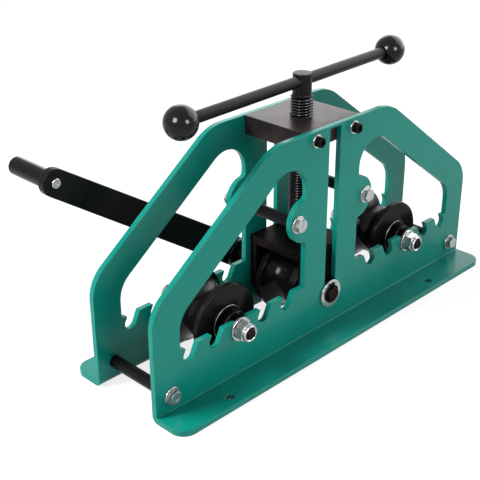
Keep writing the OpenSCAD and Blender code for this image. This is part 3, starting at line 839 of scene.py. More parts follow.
    def as_mesh(self, name: str) -> bpy.types.Mesh:
        """Copies the solid into a new mesh.

        Args:
            name: The mesh's name.

        Returns:
            The mesh.
        """
        mesh = bpy.data.meshes.new(name)
        self.mesh.to_mesh(mesh)
        return mesh

    def move(self, matrix: Matrix) -> Solid:
        """Moves everything in the solid."""
        bmesh.ops.transform(self.mesh, matrix=matrix, verts=self.mesh.verts)
        return self

    def raised(self, height: float) -> Solid:
        """Moves the solid along Z."""
        return self.move(Matrix.Translation((0, 0, height)))

    def join(self, other: Solid, matrix: Matrix = Matrix()) -> Solid:
        """Adds a moved copy of another solid.

        Args:
            other: The solid to copy.
            matrix: Where the copy goes.

        Returns:
            This solid.
        """
        copy = other.as_mesh("copy")
        copy.transform(matrix)
        if matrix.determinant() < 0:
            copy.flip_normals()
        self.mesh.from_mesh(copy)
        bpy.data.meshes.remove(copy)
        return self

    def pair(self, other: Solid, seat: Matrix) -> Solid:
        """Adds a copy of another solid at a seat in the rear, and its mirror image in the front."""
        return self.join(other, seat).join(other, MIRROR @ seat)

    def carve(self, cutter: Solid) -> Solid:
        """Cuts another solid out of this one.

        Args:
            cutter: The solid to take away, which is used up.

        Returns:
            This solid.
        """
        objects = [linked("work", solid.as_mesh("work")) for solid in (self, cutter)]
        cut = objects[0].modifiers.new("cut", "BOOLEAN")
        cut.object = objects[1]
        cut.solver = "EXACT"
        shape = objects[0].evaluated_get(bpy.context.evaluated_depsgraph_get())
        result = bmesh.new()
        result.from_mesh(shape.to_mesh())
        shape.to_mesh_clear()
        for item in objects:
            mesh = item.data
            bpy.data.objects.remove(item)
            bpy.data.meshes.remove(mesh)
        cutter.mesh.free()
        self.mesh.free()
        self.mesh = result
        return self


def upright(y: float, z: float = 0.0) -> Matrix:
    """Stands an XY drawing up in XZ, with its depth towards the front from a given Y."""
    return Matrix.Translation((0, y, z)) @ Matrix.Rotation(math.pi / 2, 4, "X")


def across(x: float, y: float, z: float) -> Matrix:
    """Lays a turned body's axis along +Y."""
    return Matrix.Translation((x, y, z)) @ Matrix.Rotation(-math.pi / 2, 4, "X")


def spun(degrees: float) -> Matrix:
    """Turns about Z."""
    return Matrix.Rotation(math.radians(degrees), 4, "Z")


def washer(radius: float, thickness: float, bore: float) -> Solid:
    """Gives a washer that stands on XY."""
    return Solid().tube(bore, radius, thickness, (0.2, 0.25, 0.45, 0.25), 56)


@dataclass
class Shop:
    """Makes the objects, and hands each finish out once."""

    middle: float
    finishes: dict[str, bpy.types.Material] = field(default_factory=dict)

    def finish(self, kind: Finish) -> bpy.types.Material:
        """Gives the material of a finish, made on first use.

        Args:
            kind: The finish.

        Returns:
            Its material.
        """
        if kind.name not in self.finishes:
            self.finishes[kind.name] = kind.build()
        return self.finishes[kind.name]

    def piece(self, name: str, solid: Solid, finish: Finish, body: Body, slot: Slot, *nodes: str,
              crease: float = 35.0) -> None:
        """Turns a solid into a finished object in the row frame.

        Args:
            name: The piece's name.
            solid: Its shape, which is used up.
            finish: Its finish.
            body: The body that it moves with.
            slot: The record's slot that it belongs to; not used.
            nodes: The CAD nodes that it stands for.
            crease: The edge angle that stays sharp, in degrees.
        """
        solid.move(Matrix.Scale(MM, 4) @ Matrix.Translation((self.middle, 0, 0)))
        mesh = solid.as_mesh(name)
        solid.mesh.free()
        mesh.shade_smooth()
        mesh.set_sharp_from_angle(angle=math.radians(crease))
        item = linked(name, mesh)
        mesh.materials.append(self.finish(finish))
        weighted = item.modifiers.new("flat_faces", "WEIGHTED_NORMAL")
        weighted.keep_sharp = True
        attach(item, body.value)
        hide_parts(*nodes)
        LOG.info("%s: %d faces on %s", name, len(mesh.polygons), body.value)

    def dress(self, node: bpy.types.Object, finish: Finish) -> None:
        """Gives a CAD node that stays in view its finish.

        Args:
            node: The CAD node's object.
            finish: Its finish.
        """
        node.data.materials.clear()
        node.data.materials.append(self.finish(finish))
        LOG.info("%s: kept, in %s", node.name, finish.name)


GREEN = PowderCoat("green_powder_coat", (0.03, 0.455, 0.41), (0.02, 0.415, 0.37), roughness=0.24, gloss=0.15)
BLACK_PAINT = PowderCoat("black_satin_paint", (0.045, 0.045, 0.05), (0.03, 0.03, 0.033), roughness=0.34,
                         peel_scale=900.0, peel_height=0.05, gloss=0.10)
BLOCK_STEEL = BlackOxide("ground_block_steel", (0.15, 0.13, 0.135), (0.23, 0.19, 0.19), roughness=0.34,
                         metallic=0.6)
DARK_STEEL = BlackOxide("black_oxide_steel", (0.085, 0.078, 0.08), (0.13, 0.105, 0.098), gloss=0.15, edge=0.4)
SCREW_STEEL = BlackOxide("oiled_screw_steel", (0.11, 0.108, 0.115), (0.14, 0.125, 0.122), roughness=0.15,
                         grain=(1.0, 1.0, 1.0), gloss=0.8)
# The second colour is the painted highlight on the thread's crests
THREAD_STEEL = ThreadedSteel("crest_highlight_screw_steel", (0.085, 0.083, 0.09), (0.32, 0.315, 0.325),
                             axis=(11.0, 0.0))
ZINC = ZincPlate("bright_zinc", (0.70, 0.70, 0.70), (0.52, 0.53, 0.55))
BRONZE = ZincPlate("turned_bronze", (0.72, 0.55, 0.30), (0.62, 0.45, 0.24), roughness=0.32)
KNOB_PLASTIC = MouldedPlastic("glossy_black_plastic", (0.035, 0.035, 0.042), (0.10, 0.10, 0.105),
                              roughness=0.13, gloss=0.2)
GRIP_PLASTIC = MouldedPlastic("smooth_grip_plastic", (0.025, 0.022, 0.025), (0.06, 0.04, 0.035),
                              roughness=0.12, gloss=0.12)


@dataclass
class SidePlates:
    """The two slotted side plates with their bent feet."""

    half_length: float = 250.0
    thickness: float = 6.5
    end_height: float = 118.0
    half_top: float = 91.0
    end_corner: float = 40.0
    top_corner: float = 55.0
    foot_reach: float = 36.7
    bend: float = 1.0
    bend_steps: int = 10
    foot_corner: float = 16.0
    foot_hole: float = 4.25
    foot_hole_half_span: float = 165.5
    foot_hole_shift: float = 11.0
    foot_hole_margin: float = 13.0
    half_web: float = 42.0
    post: float = 33.0
    band: float = 33.0
    window_corner: float = 30.0
    lobe: float = 27.3
    comb_height: float = 66.5
    lug: float = 24.0
    lug_x: float = 41.5
    lug_fillet: float = 5.0
    slot_count: int = 5
    slot_width: float = 14.0
    first_slot: float = 70.7
    slot_pitch: float = 33.9
    seat_height: float = 57.4
    slot_tilt: float = 26.0
    mouth: float = 1.1
    near_mouth: float = 1.05
    guide_width: float = 17.0
    guide_bottom: float = 34.48
    guide_bridge: float = 3.0
    tie_hole: float = 4.05
    block_hole: float = 3.05
    rim: float = 0.7

    @property
    def bend_top(self) -> float:
        """Gives the height at which the bend starts."""
        return self.thickness + self.bend

    @property
    def bend_length(self) -> float:
        """Gives the length of sheet in the bend, along its middle."""
        return (self.bend + self.thickness / 2) * math.pi / 2

    def _slot(self, x: float) -> list[Corner]:
        """Gives the vertices of one leaning slot.

        Args:
            x: The distance of its seat from the middle.

        Returns:
            Four vertices as x, z and radius.
        """
        lean = math.radians(self.slot_tilt)
        axis = Vector((-math.sin(lean), math.cos(lean)))
        normal = Vector((math.cos(lean), math.sin(lean)))
        half = self.slot_width / 2
        seat = Vector((x, self.seat_height))
        sides = [seat - normal * half, seat + normal * half]
        mouths = [p + axis * (self.comb_height - p.y) / axis.y for p in sides]
        feet = [p - axis * half for p in sides]
        return [(*mouths[0], self.near_mouth), (*feet[0], half), (*feet[1], half), (*mouths[1], self.mouth)]

    def window(self, side: int) -> Outline:
        """Gives the outline of a window with its comb.

        Args:
            side: 1 for the right-hand window and -1 for the left.

        Returns:
            The outline.
        """
        slope = math.degrees(math.atan2(PLATE_TOP - self.end_height, self.half_length - self.half_top))
        normal = Vector((math.sin(math.radians(slope)), math.cos(math.radians(slope))))
        level = normal.dot(Vector((self.half_top, PLATE_TOP))) - self.band
        end = self.half_length - self.post
        corner_x = end - self.window_corner
        corner_z = (level - self.window_corner - normal.x * corner_x) / normal.y
        lobe_x = self.half_web + self.lobe
        lobe_z = (level - self.lobe - normal.x * lobe_x) / normal.y
        nook_x = self.half_web + self.lug_fillet
        rise = math.sqrt((self.lug + self.lug_fillet) ** 2 - (nook_x - self.lug_x) ** 2)
        turn = math.degrees(math.atan2(rise, nook_x - self.lug_x))
        run = [(self.half_web, self.comb_height, 0.0)]
        for k in range(self.slot_count):
            run += self._slot(self.first_slot + k * self.slot_pitch)
        run.append((end, self.comb_height, 0.0))
        points = rounded(run, closed=False)
        points += arc((corner_x, corner_z), self.window_corner, 0, 90 - slope)
        points += arc((lobe_x, lobe_z), self.lobe, 90 - slope, 180)
        points += arc((nook_x, TieRods.upper_height + rise), self.lug_fillet, 180, 180 + turn, 15)
        points += arc((self.lug_x, TieRods.upper_height), self.lug, turn, -turn)
        points += arc((nook_x, TieRods.upper_height - rise), self.lug_fillet, 180 - turn, 180, 15)
        return [(side * x, z) for x, z in points]

    def blank(self) -> Solid:
        """Gives the flat sheet, before its foot is bent.

        Returns:
            The sheet in XY, with its inner face down.
        """
        length, top = self.half_length, self.half_top
        bottom = self.bend_top - self.bend_length - (self.foot_reach - self.bend)
        outline = rounded([
            (-length, bottom, self.foot_corner), (length, bottom, self.foot_corner),
            (length, self.end_height, self.end_corner), (top, PLATE_TOP, self.top_corner),
            (-top, PLATE_TOP, self.top_corner), (-length, self.end_height, self.end_corner),
        ], step=4.0)
        half = self.guide_width / 2
        slot_top = PLATE_TOP - self.guide_bridge
        guide = arc((0, self.guide_bottom + half), half, 180, 360) + [(half, slot_top), (-half, slot_top)]
        holes = [self.window(1), self.window(-1), guide]
        for side in (-1, 1):
            x = side * self.foot_hole_half_span - self.foot_hole_shift
            holes.append(circle((x, bottom + self.foot_hole_margin), self.foot_hole, 36))
        holes += [circle(place, self.tie_hole, 32) for place in TieRods.places()]
        holes += [circle(place, self.block_hole, 32) for place in TopBlock.screw_places()]
        return Solid().prism(outline, holes, self.thickness, self.rim)

    def bent(self) -> Solid:
        """Bends the foot of the sheet.

        Returns:
            The front plate, in place.
        """
        solid = self.blank()
        for k in range(self.bend_steps + 1):
            level = self.bend_top - self.bend_length * k / self.bend_steps
            geometry = solid.mesh.verts[:] + solid.mesh.edges[:] + solid.mesh.faces[:]
            bmesh.ops.bisect_plane(solid.mesh, geom=geometry, plane_co=(0, level, 0), plane_no=(0, 1, 0),
                                   dist=1e-4)
        axis_y = -(PLATE_OUTER + self.bend)
        for vert in solid.mesh.verts:
            x, v, w = vert.co
            if v >= self.bend_top:
                vert.co = (x, -(PLATE_INNER + w), v)
                continue
            turn = min((self.bend_top - v) / self.bend_length, 1.0) * math.pi / 2
            radius = self.bend + self.thickness - w
            run = max(self.bend_top - self.bend_length - v, 0.0)
            vert.co = (x, axis_y + radius * math.cos(turn) - run, self.bend_top - radius * math.sin(turn))
        return solid

    def build(self, shop: Shop) -> None:
        """Makes both plates.

        Args:
            shop: Makes the objects.
        """
        front = self.bent()
        rear = Solid().join(front, MIRROR)
        shop.piece("front_plate_sheet", front, GREEN, Body.FRAME, Slot.GREEN, "front_side_plate")
        shop.piece("rear_plate_sheet", rear, GREEN, Body.FRAME, Slot.GREEN, "rear_side_plate")


@dataclass
class TieRods:
    """The rods between the plates, with their bolts and washers."""

    radius: float = 6.5
    edge: float = 0.6
    washer: float = 9.5
    washer_bore: float = 4.2
    flats: float = 13.0
    head: float = 5.3
    shank: float = 4.0
    dish_floor: float = 0.26
    dish_rim: float = 0.36
    dish_depth: float = 0.45
    first_turn: float = 17.0
    next_turn: float = 23.0
    lower_x: float = 230.0
    lower_height: float = 23.0
    upper_x: float = 54.5
    upper_height: float = 142.4

    @classmethod
    def places(cls) -> list[Point]:
        """Gives the x and z of each rod: lower left, upper left, lower right and upper right."""
        return [(side * x, z) for side in (-1, 1)
                for x, z in ((cls.lower_x, cls.lower_height), (cls.upper_x, cls.upper_height))]

    def bolt(self) -> Solid:
        """Gives a bolt that stands on its head's underside, with a shallow dish in its top.

        Returns:
            The bolt.
        """
        low, high = self.head - self.dish_depth, self.head + 0.2
        dish = [(0, low), (self.flats * self.dish_floor, low), (self.flats * self.dish_rim, high), (0, high)]
        return Solid().hexagon(self.flats, self.head).carve(Solid().turned(dish, 40)).shank(self.shank)

    def build(self, shop: Shop) -> None:
        """Makes the rods, washers and bolts.

        Args:
            shop: Makes the objects.
        """
        bolts, washers = Solid(), Solid()
        bolt = self.bolt()
        ring = washer(self.washer, THIN_WASHER, self.washer_bore)
        names = ("lower_left_tie", "upper_left_tie", "lower_right_tie", "upper_right_tie")
        for index, (node, (x, z)) in enumerate(zip(names, self.places())):
            rod = Solid().rod(self.radius, -PLATE_INNER, PLATE_INNER, 48, self.edge, self.edge)
            shop.piece(f"{node}_rod", rod.move(across(x, 0, z)), BLACK_PAINT, Body.FRAME, Slot.PAINT, node)
            washers.pair(ring, across(x, PLATE_OUTER, z))
            turn = spun(self.first_turn + self.next_turn * index)
            bolts.pair(bolt, across(x, PLATE_OUTER + THIN_WASHER, z) @ turn)
        shop.piece("tie_washer_set", washers, ZINC, Body.FRAME, Slot.ZINC, "tie_washers")
        shop.piece("tie_bolt_set", bolts, ZINC, Body.FRAME, Slot.ZINC, "tie_bolts")


@dataclass
class TopBlock:
    """The block at the top, its socket screws and their washers."""

    half_length: float = 43.0
    height: float = 20.6
    corner: float = 0.6
    edge: float = 0.35
    bore: float = 12.15
    screw_x: float = 29.0
    screw_turn: float = 0.3
    washer: float = 7.0
    head_radius: float = 5.25
    head_height: float = 6.3
    knurl_depth: float = 0.28
    shank: float = 3.0
    socket_flats: float = 5.0
    socket_depth: float = 3.2

    @classmethod
    def screw_places(cls) -> list[Point]:
        """Gives the x and z of the screws."""
        return [(side * cls.screw_x, PLATE_TOP - cls.height / 2) for side in (-1, 1)]

    def cap_screw(self) -> Solid:
        """Gives a socket screw with a knurled head that rises along Z.

        Returns:
            The screw.
        """
        h = self.head_height
        r = self.head_radius

        def knurl(step: int, radius: float, height: float) -> float:
            """Gives the ridged radius of the head's side."""
            ridged = radius > r - 0.01 and 0.8 < height < h - 1.0
            return radius - (self.knurl_depth if ridged and step % 2 else 0.0)

        head = Solid().turned([
            (0, 0), (r - 0.5, 0), (r, 0.5), (r, 0.9), (r, h / 2), (r, h - 1.1), (r, h - 0.9),
            (r - 0.35, h - 0.35), (r - 0.9, h), (0, h),
        ], 72, knurl=knurl)
        socket = Solid().hexagon(self.socket_flats, self.socket_depth + 1)
        return head.carve(socket.raised(h - self.socket_depth)).shank(self.shank)

    def build(self, shop: Shop) -> None:
        """Makes the block, its screws and their washers.

        Args:
            shop: Makes the objects.
        """
        outline = rectangle(self.half_length, PLATE_INNER, self.corner)
        block = Solid().prism(outline, [circle((0, 0), self.bore, 64)], self.height, self.edge, 2)
        block.raised(PLATE_TOP - self.height)
        shop.piece("screw_block", block, BLOCK_STEEL, Body.FRAME, Slot.OXIDE, "top_block")
        screws, washers = Solid(), Solid()
        screw = self.cap_screw()
        ring = washer(self.washer, THIN_WASHER, self.shank + CLEARANCE)
        for x, z in self.screw_places():
            washers.pair(ring, across(x, PLATE_OUTER, z))
            turn = Matrix.Rotation(self.screw_turn * x, 4, "Z")
            screws.pair(screw, across(x, PLATE_OUTER + THIN_WASHER, z) @ turn)
        shop.piece("block_washer_set", washers, ZINC, Body.FRAME, Slot.ZINC, "block_washers")
        shop.piece("block_screw_set", screws, DARK_STEEL, Body.FRAME, Slot.OXIDE, "block_screws")


@dataclass
class Rolls:
    """The grooved dies, and the axles and nuts of the lower two."""

    axle_x: float = 138.5
    axle_z: float = 57.32
    bore: float = 10.05
    radius: float = 41.0
    width: float = 55.0
    root: float = 28.5
    groove: float = 45.6
    hub: float = 19.0
    hub_width: float = 60.2
    face_rise: float = 0.8
    rim_drop: float = 0.9
    rim: float = 0.8
    axle: float = 6.9
    axle_end: float = 6.0
    shoulder: float = 45.95
    reach: float = 63.75
    thread_depth: float = 0.75
    thread_pitch: float = 1.75
    spacer: float = 16.0
    groove_count: int = 5
    groove_share: float = 0.6
    groove_depth: float = 0.7
    spacer_gap: float = 0.15
    washer: float = 12.8
    washer_thickness: float = 2.5
    nut_flats: float = 19.0
    nut_hex: float = 10.0
    nut_collar: float = 9.0
    nut_collar_height: float = 3.5

    def die(self) -> Solid:
        """Draws a die from one side's hub, face and bevelled edge, mirrored over the groove.

        Returns:
            The grooved die about Z.
        """
        mouth = self.groove / 2
        depth = self.radius - self.root
        sweep = (mouth ** 2 + depth ** 2) / (2 * depth)
        opening = math.degrees(math.asin(mouth / sweep))
        face = self.width / 2
        end = self.hub_width / 2
        side = [
            (self.bore, end, 0.4), (self.hub, end, 0.9), (self.hub, face + self.face_rise, 0.3),
            (self.radius - self.rim_drop, face, self.rim), (self.radius, mouth, 0.7),
        ]
        root = arc((self.root + sweep, 0), sweep, 180 + opening, 180 - opening, 4)[1:-1]
        path = [(r, -h, edge) for r, h, edge in side] + [(r, h, 0) for r, h in root] + side[::-1]
        return Solid().lathed(path, 120, True)

    def collar(self) -> Solid:
        """Draws a spacer collar with fine grooves next to the die and a smooth end.

        Returns:
            The collar about Z, at its height above the middle.
        """
        low = self.hub_width / 2 + self.spacer_gap
        bore = self.axle + CLEARANCE
        step = (PLATE_INNER - low) * self.groove_share / self.groove_count
        groove = self.spacer - self.groove_depth
        path: list[Corner] = [(bore, low, 0.3), (self.spacer, low, 0.3)]
        for k in range(1, self.groove_count + 1):
            level = low + k * step
            path += [(self.spacer, level - step * 0.4, 0), (groove, level - step * 0.2, 0),
                     (groove, level, 0), (self.spacer, level, 0)]
        path += [(self.spacer, PLATE_INNER, 0.5), (bore, PLATE_INNER, 0.3)]
        return Solid().lathed(path, 64, True)

    def lock_nut(self) -> Solid:
        """Draws a lock nut with its round collar and the end of its insert.

        Returns:
            The nut, standing on XY.
        """
        end = self.axle_end
        foot, top = self.nut_hex - 1, self.nut_hex + self.nut_collar_height
        collar = Solid().lathed([
            (end + 0.3, foot, 0), (self.nut_collar, foot, 0), (self.nut_collar, top, 1.3),
            (end + 1.3, top - 0.2, 0.5), (end + 0.3, top - 1.0, 0.2),
        ], 56, True)
        return Solid().hexagon(self.nut_flats, self.nut_hex, end + 0.05, both_ends=True).join(collar)

    def axle_bar(self) -> Solid:
        """Draws an axle with its threaded ends.

        Returns:
            The axle about Z, centred on the origin.
        """
        foot, core = self.shoulder - 1, self.axle_end - self.thread_depth - 0.01
        body = Solid().rod(self.axle, -self.shoulder, self.shoulder, 56, 0.4, 0.4)
        stub = Solid().thread(self.axle_end, self.thread_depth, self.thread_pitch, foot, self.reach - 0.8, 32)
        stub.join(Solid().turned([
            (0, foot), (core, foot), (core, self.reach - 0.7), (self.axle_end - 1.5, self.reach),
            (0, self.reach),
        ], 40))
        return body.join(stub).join(stub, Matrix.Scale(-1, 4, (0, 0, 1)))

    def build(self, shop: Shop) -> None:
        """Makes the lower dies and what carries them.

        Args:
            shop: Makes the objects.
        """
        z = self.axle_z
        washers, nuts, spacers = Solid(), Solid(), Solid()
        ring = washer(self.washer, self.washer_thickness, self.axle_end + CLEARANCE)
        nut = self.lock_nut()
        spacer = self.collar()
        for side, word, body, turn in ((-1, "left", Body.LEFT_ROLL, 8), (1, "right", Body.RIGHT_ROLL, 21)):
            x = side * self.axle_x
            finish = TurnedSteel(f"{word}_die_steel", (0.085, 0.082, 0.085), (0.12, 0.108, 0.105),
                                 axis=(x + shop.middle, z))
            die = self.die().move(across(x, 0, z))
            shop.piece(f"{word}_grooved_die", die, finish, body, Slot.DIE, f"{word}_die")
            bar = self.axle_bar().move(across(x, 0, z))
            shop.piece(f"{word}_axle_bar", bar, DARK_STEEL, Body.FRAME, Slot.OXIDE, f"{word}_axle")
            spacers.pair(spacer, across(x, 0, z))
            washers.pair(ring, across(x, PLATE_OUTER, z))
            nuts.pair(nut, across(x, PLATE_OUTER + self.washer_thickness, z) @ spun(turn))
        shop.piece("axle_spacer_set", spacers, SCREW_STEEL, Body.FRAME, Slot.PAINT, "axle_spacers")
        shop.piece("axle_washer_set", washers, ZINC, Body.FRAME, Slot.ZINC, "axle_washers")
        shop.piece("axle_nut_set", nuts, ZINC, Body.FRAME, Slot.ZINC, "axle_nuts")


@dataclass
class Yoke:
    """The carriage that the lead screw presses down."""

    half_length: float = 35.0
    top: float = 54.4
    plate: float = 10.0
    cheek: float = 8.0
    cheek_inner: float = 30.4
    drop: float = 18.0
    corner: float = 15.0
    edge: float = 0.8
    bush: float = 10.02
    journal: float = 7.05
    gap: float = 0.25
    screw_x: float = 24.0
    screw_head: float = 4.5
    screw_shank: float = 2.5
    screw_flats: float = 3.0

    def countersunk(self) -> Solid:
        """Draws a countersunk screw with its hexagon socket.

        Returns:
            The screw, with its head's face on XY.
        """
        head, shank = self.screw_head - CLEARANCE, self.screw_shank
        screw = Solid().turned([(0, -7), (shank, -7), (shank, -2.4), (head, -0.3), (head, 0), (0, 0)], 48)
        return screw.carve(Solid().hexagon(self.screw_flats, 3.2).raised(-2.0))

    def build(self, shop: Shop) -> None:
        """Makes the yoke plate, the cheeks and their screws.

        Args:
            shop: Makes the objects.
        """
        top_z = SHAFT_Z + self.top
        bottom = SHAFT_Z - self.drop
        half = self.half_length
        outline = rectangle(half, self.cheek_inner - self.gap / 2, self.edge)
        plate = Solid().prism(outline, [circle((0, 0), self.journal, 48)], self.plate, 0.5, 2)
        plate.raised(top_z - self.plate)
        shop.piece("yoke_bridge", plate, DARK_STEEL, Body.CARRIAGE, Slot.OXIDE, "yoke_plate")
        side = rounded([
            (-half, top_z, self.edge), (-half, bottom, self.corner), (half, bottom, self.corner),
            (half, top_z, self.edge),
        ])
        places = [(x, top_z - self.plate / 2) for x in (-self.screw_x, self.screw_x)]
        holes = [circle((0, SHAFT_Z), self.bush, 56)]
        holes += [circle(place, self.screw_head, 40) for place in places]
        cheek = Solid().prism(side, holes, self.cheek, 0.22, 2)
        rear = Solid().join(cheek, MIRROR @ upright(-self.cheek_inner))
        cheek.move(upright(-self.cheek_inner))
        shop.piece("front_cheek_plate", cheek, DARK_STEEL, Body.CARRIAGE, Slot.OXIDE, "yoke_front_cheek")
        shop.piece("rear_cheek_plate", rear, DARK_STEEL, Body.CARRIAGE, Slot.OXIDE, "yoke_rear_cheek")
        screws = Solid()
        screw = self.countersunk()
        for x, z in places:
            screws.pair(screw, across(x, self.cheek_inner + self.cheek - CLEARANCE, z))
        shop.piece("yoke_screw_set", screws, DARK_STEEL, Body.CARRIAGE, Slot.OXIDE, "yoke_screws")


@dataclass
class Drive:
    """The driven die, its shaft, and the crank with its grip."""

    die_groove: float = 38.0
    die_rim_drop: float = 1.6
    shaft: float = 8.0
    front: float = -52.7
    back: float = 104.0
    washer: float = 16.0
    washer_y: float = 46.55
    washer_thickness: float = 2.2
    ring_y: float = 48.9
    ring_thickness: float = 1.2
    ring_width: float = 2.8
    ring_seat: float = 7.52
    hub: float = 18.3
    hub_y: float = 87.5
    hub_length: float = 6.5
    arm_hub_end: float = 17.5
    arm_tip: float = 14.2
    arm_thickness: float = 9.0
    arm_length: float = 292.0
    arm_angle: float = 33.5
    bolt: float = 5.0
    bolt_nose: float = 2.0
    bolt_head: float = 7.0
    bolt_head_height: float = 6.0
    nose_flats: float = 5.0
    nose_socket: float = 1.8
    head_flats: float = 6.0
    head_socket: float = 3.0
    socket_key: float = 5.0
    grip: float = 9.5
    grip_length: float = 57.0
    grip_gap: float = 0.3
    grip_end: float = 9.0
    counterbore: float = 8.0
    counterbore_radius: float = 7.3

    @property
    def arm_y(self) -> float:
        """Gives the front face of the arm."""
        return self.hub_y + self.hub_length

    def shaft_bar(self) -> Solid:
        """Draws the shaft with its two ring grooves.

        Returns:
            The shaft about Z.
        """
        groove = self.ring_seat - FIT
        path: list[Corner] = [(0, self.front, 0), (self.shaft, self.front, 0.9)]
        for sign in (-1, 1):
            low, high = sorted([sign * (self.ring_y - FIT), sign * (self.ring_y + self.ring_thickness + FIT)])
            path += [(self.shaft, low, 0), (groove, low, 0), (groove, high, 0), (self.shaft, high, 0)]
        path += [(self.shaft, self.back, 0.9), (0, self.back, 0)]
        return Solid().lathed(path, 64)

    def snap_ring(self) -> Solid:
        """Draws an open retaining ring with two ears.

        Returns:
            The ring, standing on XY.
        """
        highlight_sides = self.ring_seat + self.ring_width
        ear = self.ring_width * 0.75
        gap = ear / 2
        start = math.degrees(math.asin(gap / self.ring_seat))
        ear_turn = math.degrees(math.asin(2 * ear / highlight_sides))
        inner = arc((0, 0), self.ring_seat, 90 - start, start - 270, 8)
        outside = arc((0, 0), highlight_sides, ear_turn - 270, 90 - ear_turn, 8)
        left = [(-gap, highlight_sides + ear), (-2 * ear, highlight_sides + ear)]
        right = [(2 * ear, highlight_sides + ear), (gap, highlight_sides + ear)]
        holes = [circle((side * (gap + 2 * ear) / 2, highlight_sides), ear / 3, 16) for side in (-1, 1)]
        return Solid().prism(inner + left + outside + right, holes, self.ring_thickness, 0.12, 1)

    def crank_arm(self) -> Solid:
        """Draws the flat, tapered arm with both ends round.

        Returns:
            The arm, in place.
        """
        taper = math.degrees(math.asin((self.arm_hub_end - self.arm_tip) / self.arm_length))
        outline = arc((0, 0), self.arm_hub_end, -90 - taper, 90 + taper)
        outline += arc((-self.arm_length, 0), self.arm_tip, 90 + taper, 270 - taper)
        holes = [circle((-self.arm_length, 0), self.bolt + FIT, 40)]
        arm = Solid().prism(outline, holes, self.arm_thickness, 0.9)
        return arm.move(upright(self.arm_y + self.arm_thickness, SHAFT_Z) @ spun(-self.arm_angle))

    def build(self, shop: Shop) -> None:
        """Makes the driven die, its shaft and the crank.

        Args:
            shop: Makes the objects.
        """
        z = SHAFT_Z
        bore = self.shaft + FIT
        finish = TurnedSteel("middle_die_steel", (0.075, 0.072, 0.075), (0.11, 0.10, 0.098), roughness=0.17,
                             axis=(shop.middle, z))
        die = Rolls(bore=bore, groove=self.die_groove, rim_drop=self.die_rim_drop).die().move(across(0, 0, z))
        shop.piece("driven_die", die, finish, Body.DRIVE, Slot.DIE, "middle_die")
        bar = self.shaft_bar().move(across(0, 0, z))
        shop.piece("shaft_bar", bar, DARK_STEEL, Body.DRIVE, Slot.OXIDE, "drive_shaft")
        washers = Solid().pair(washer(self.washer, self.washer_thickness, bore), across(0, self.washer_y, z))
        shop.piece("guide_washer_pair", washers, ZINC, Body.DRIVE, Slot.ZINC, "guide_washers")
        rings = Solid().pair(self.snap_ring(), upright(self.ring_y + self.ring_thickness, z))
        shop.piece("snap_ring_pair", rings, DARK_STEEL, Body.DRIVE, Slot.OXIDE, "shaft_rings")
        hub = Solid().tube(bore, self.hub, self.hub_length, (0.3, 0.9, 0.2, 0.2), 72)
        hub.move(across(0, self.hub_y, z))
        shop.piece("crank_hub_collar", hub, BLACK_PAINT, Body.DRIVE, Slot.PAINT, "crank_hub")
        shop.piece("crank_arm_bar", self.crank_arm(), BLACK_PAINT, Body.DRIVE, Slot.PAINT, "crank_arm")
        self._handle(shop)

    def _handle(self, shop: Shop) -> None:
        """Makes the handle bolt and the grip that turns on it.

        Args:
            shop: Makes the objects.
        """
        angle = math.radians(self.arm_angle)
        x, z = -self.arm_length * math.cos(angle), SHAFT_Z + self.arm_length * math.sin(angle)
        front = self.arm_y - self.bolt_nose
        grip_y = self.arm_y + self.arm_thickness + self.grip_gap
        length = self.grip_length
        seat = grip_y + length - self.counterbore + 0.15 - front
        head, top = self.bolt_head, seat + self.bolt_head_height
        bolt = Solid().lathed([
            (0, 0, 0), (self.bolt, 0, 0.9), (self.bolt, seat, 0), (head, seat, 0.3), (head, top, 0.8),
            (0, top, 0),
        ], 48)
        key = self.socket_key
        bolt.carve(Solid().hexagon(self.nose_flats, key).raised(self.nose_socket - key))
        bolt.carve(Solid().hexagon(self.head_flats, key).raised(top - self.head_socket))
        bolt.move(across(x, front, z))
        shop.piece("handle_bolt_shank", bolt, ZINC, Body.DRIVE, Slot.ZINC, "handle_bolt")
        r, wide, bore = self.grip, self.counterbore_radius, self.bolt + 0.05
        floor = length - self.counterbore
        grip = Solid().lathed([
            (bore, 0, 0.2), (r, 0, 1.2), (r, self.grip_end, 0), (r, length / 2, 0),
            (r, length - self.grip_end, 0), (r, length, 1.6), (wide, length, 0.3), (wide, floor, 0.1),
            (bore, floor, 0.1),
        ], 72, True)
        grip.move(across(x, grip_y, z))
        shop.piece("grip_tube", grip, GRIP_PLASTIC, Body.GRIP, Slot.PLASTIC, "crank_grip")


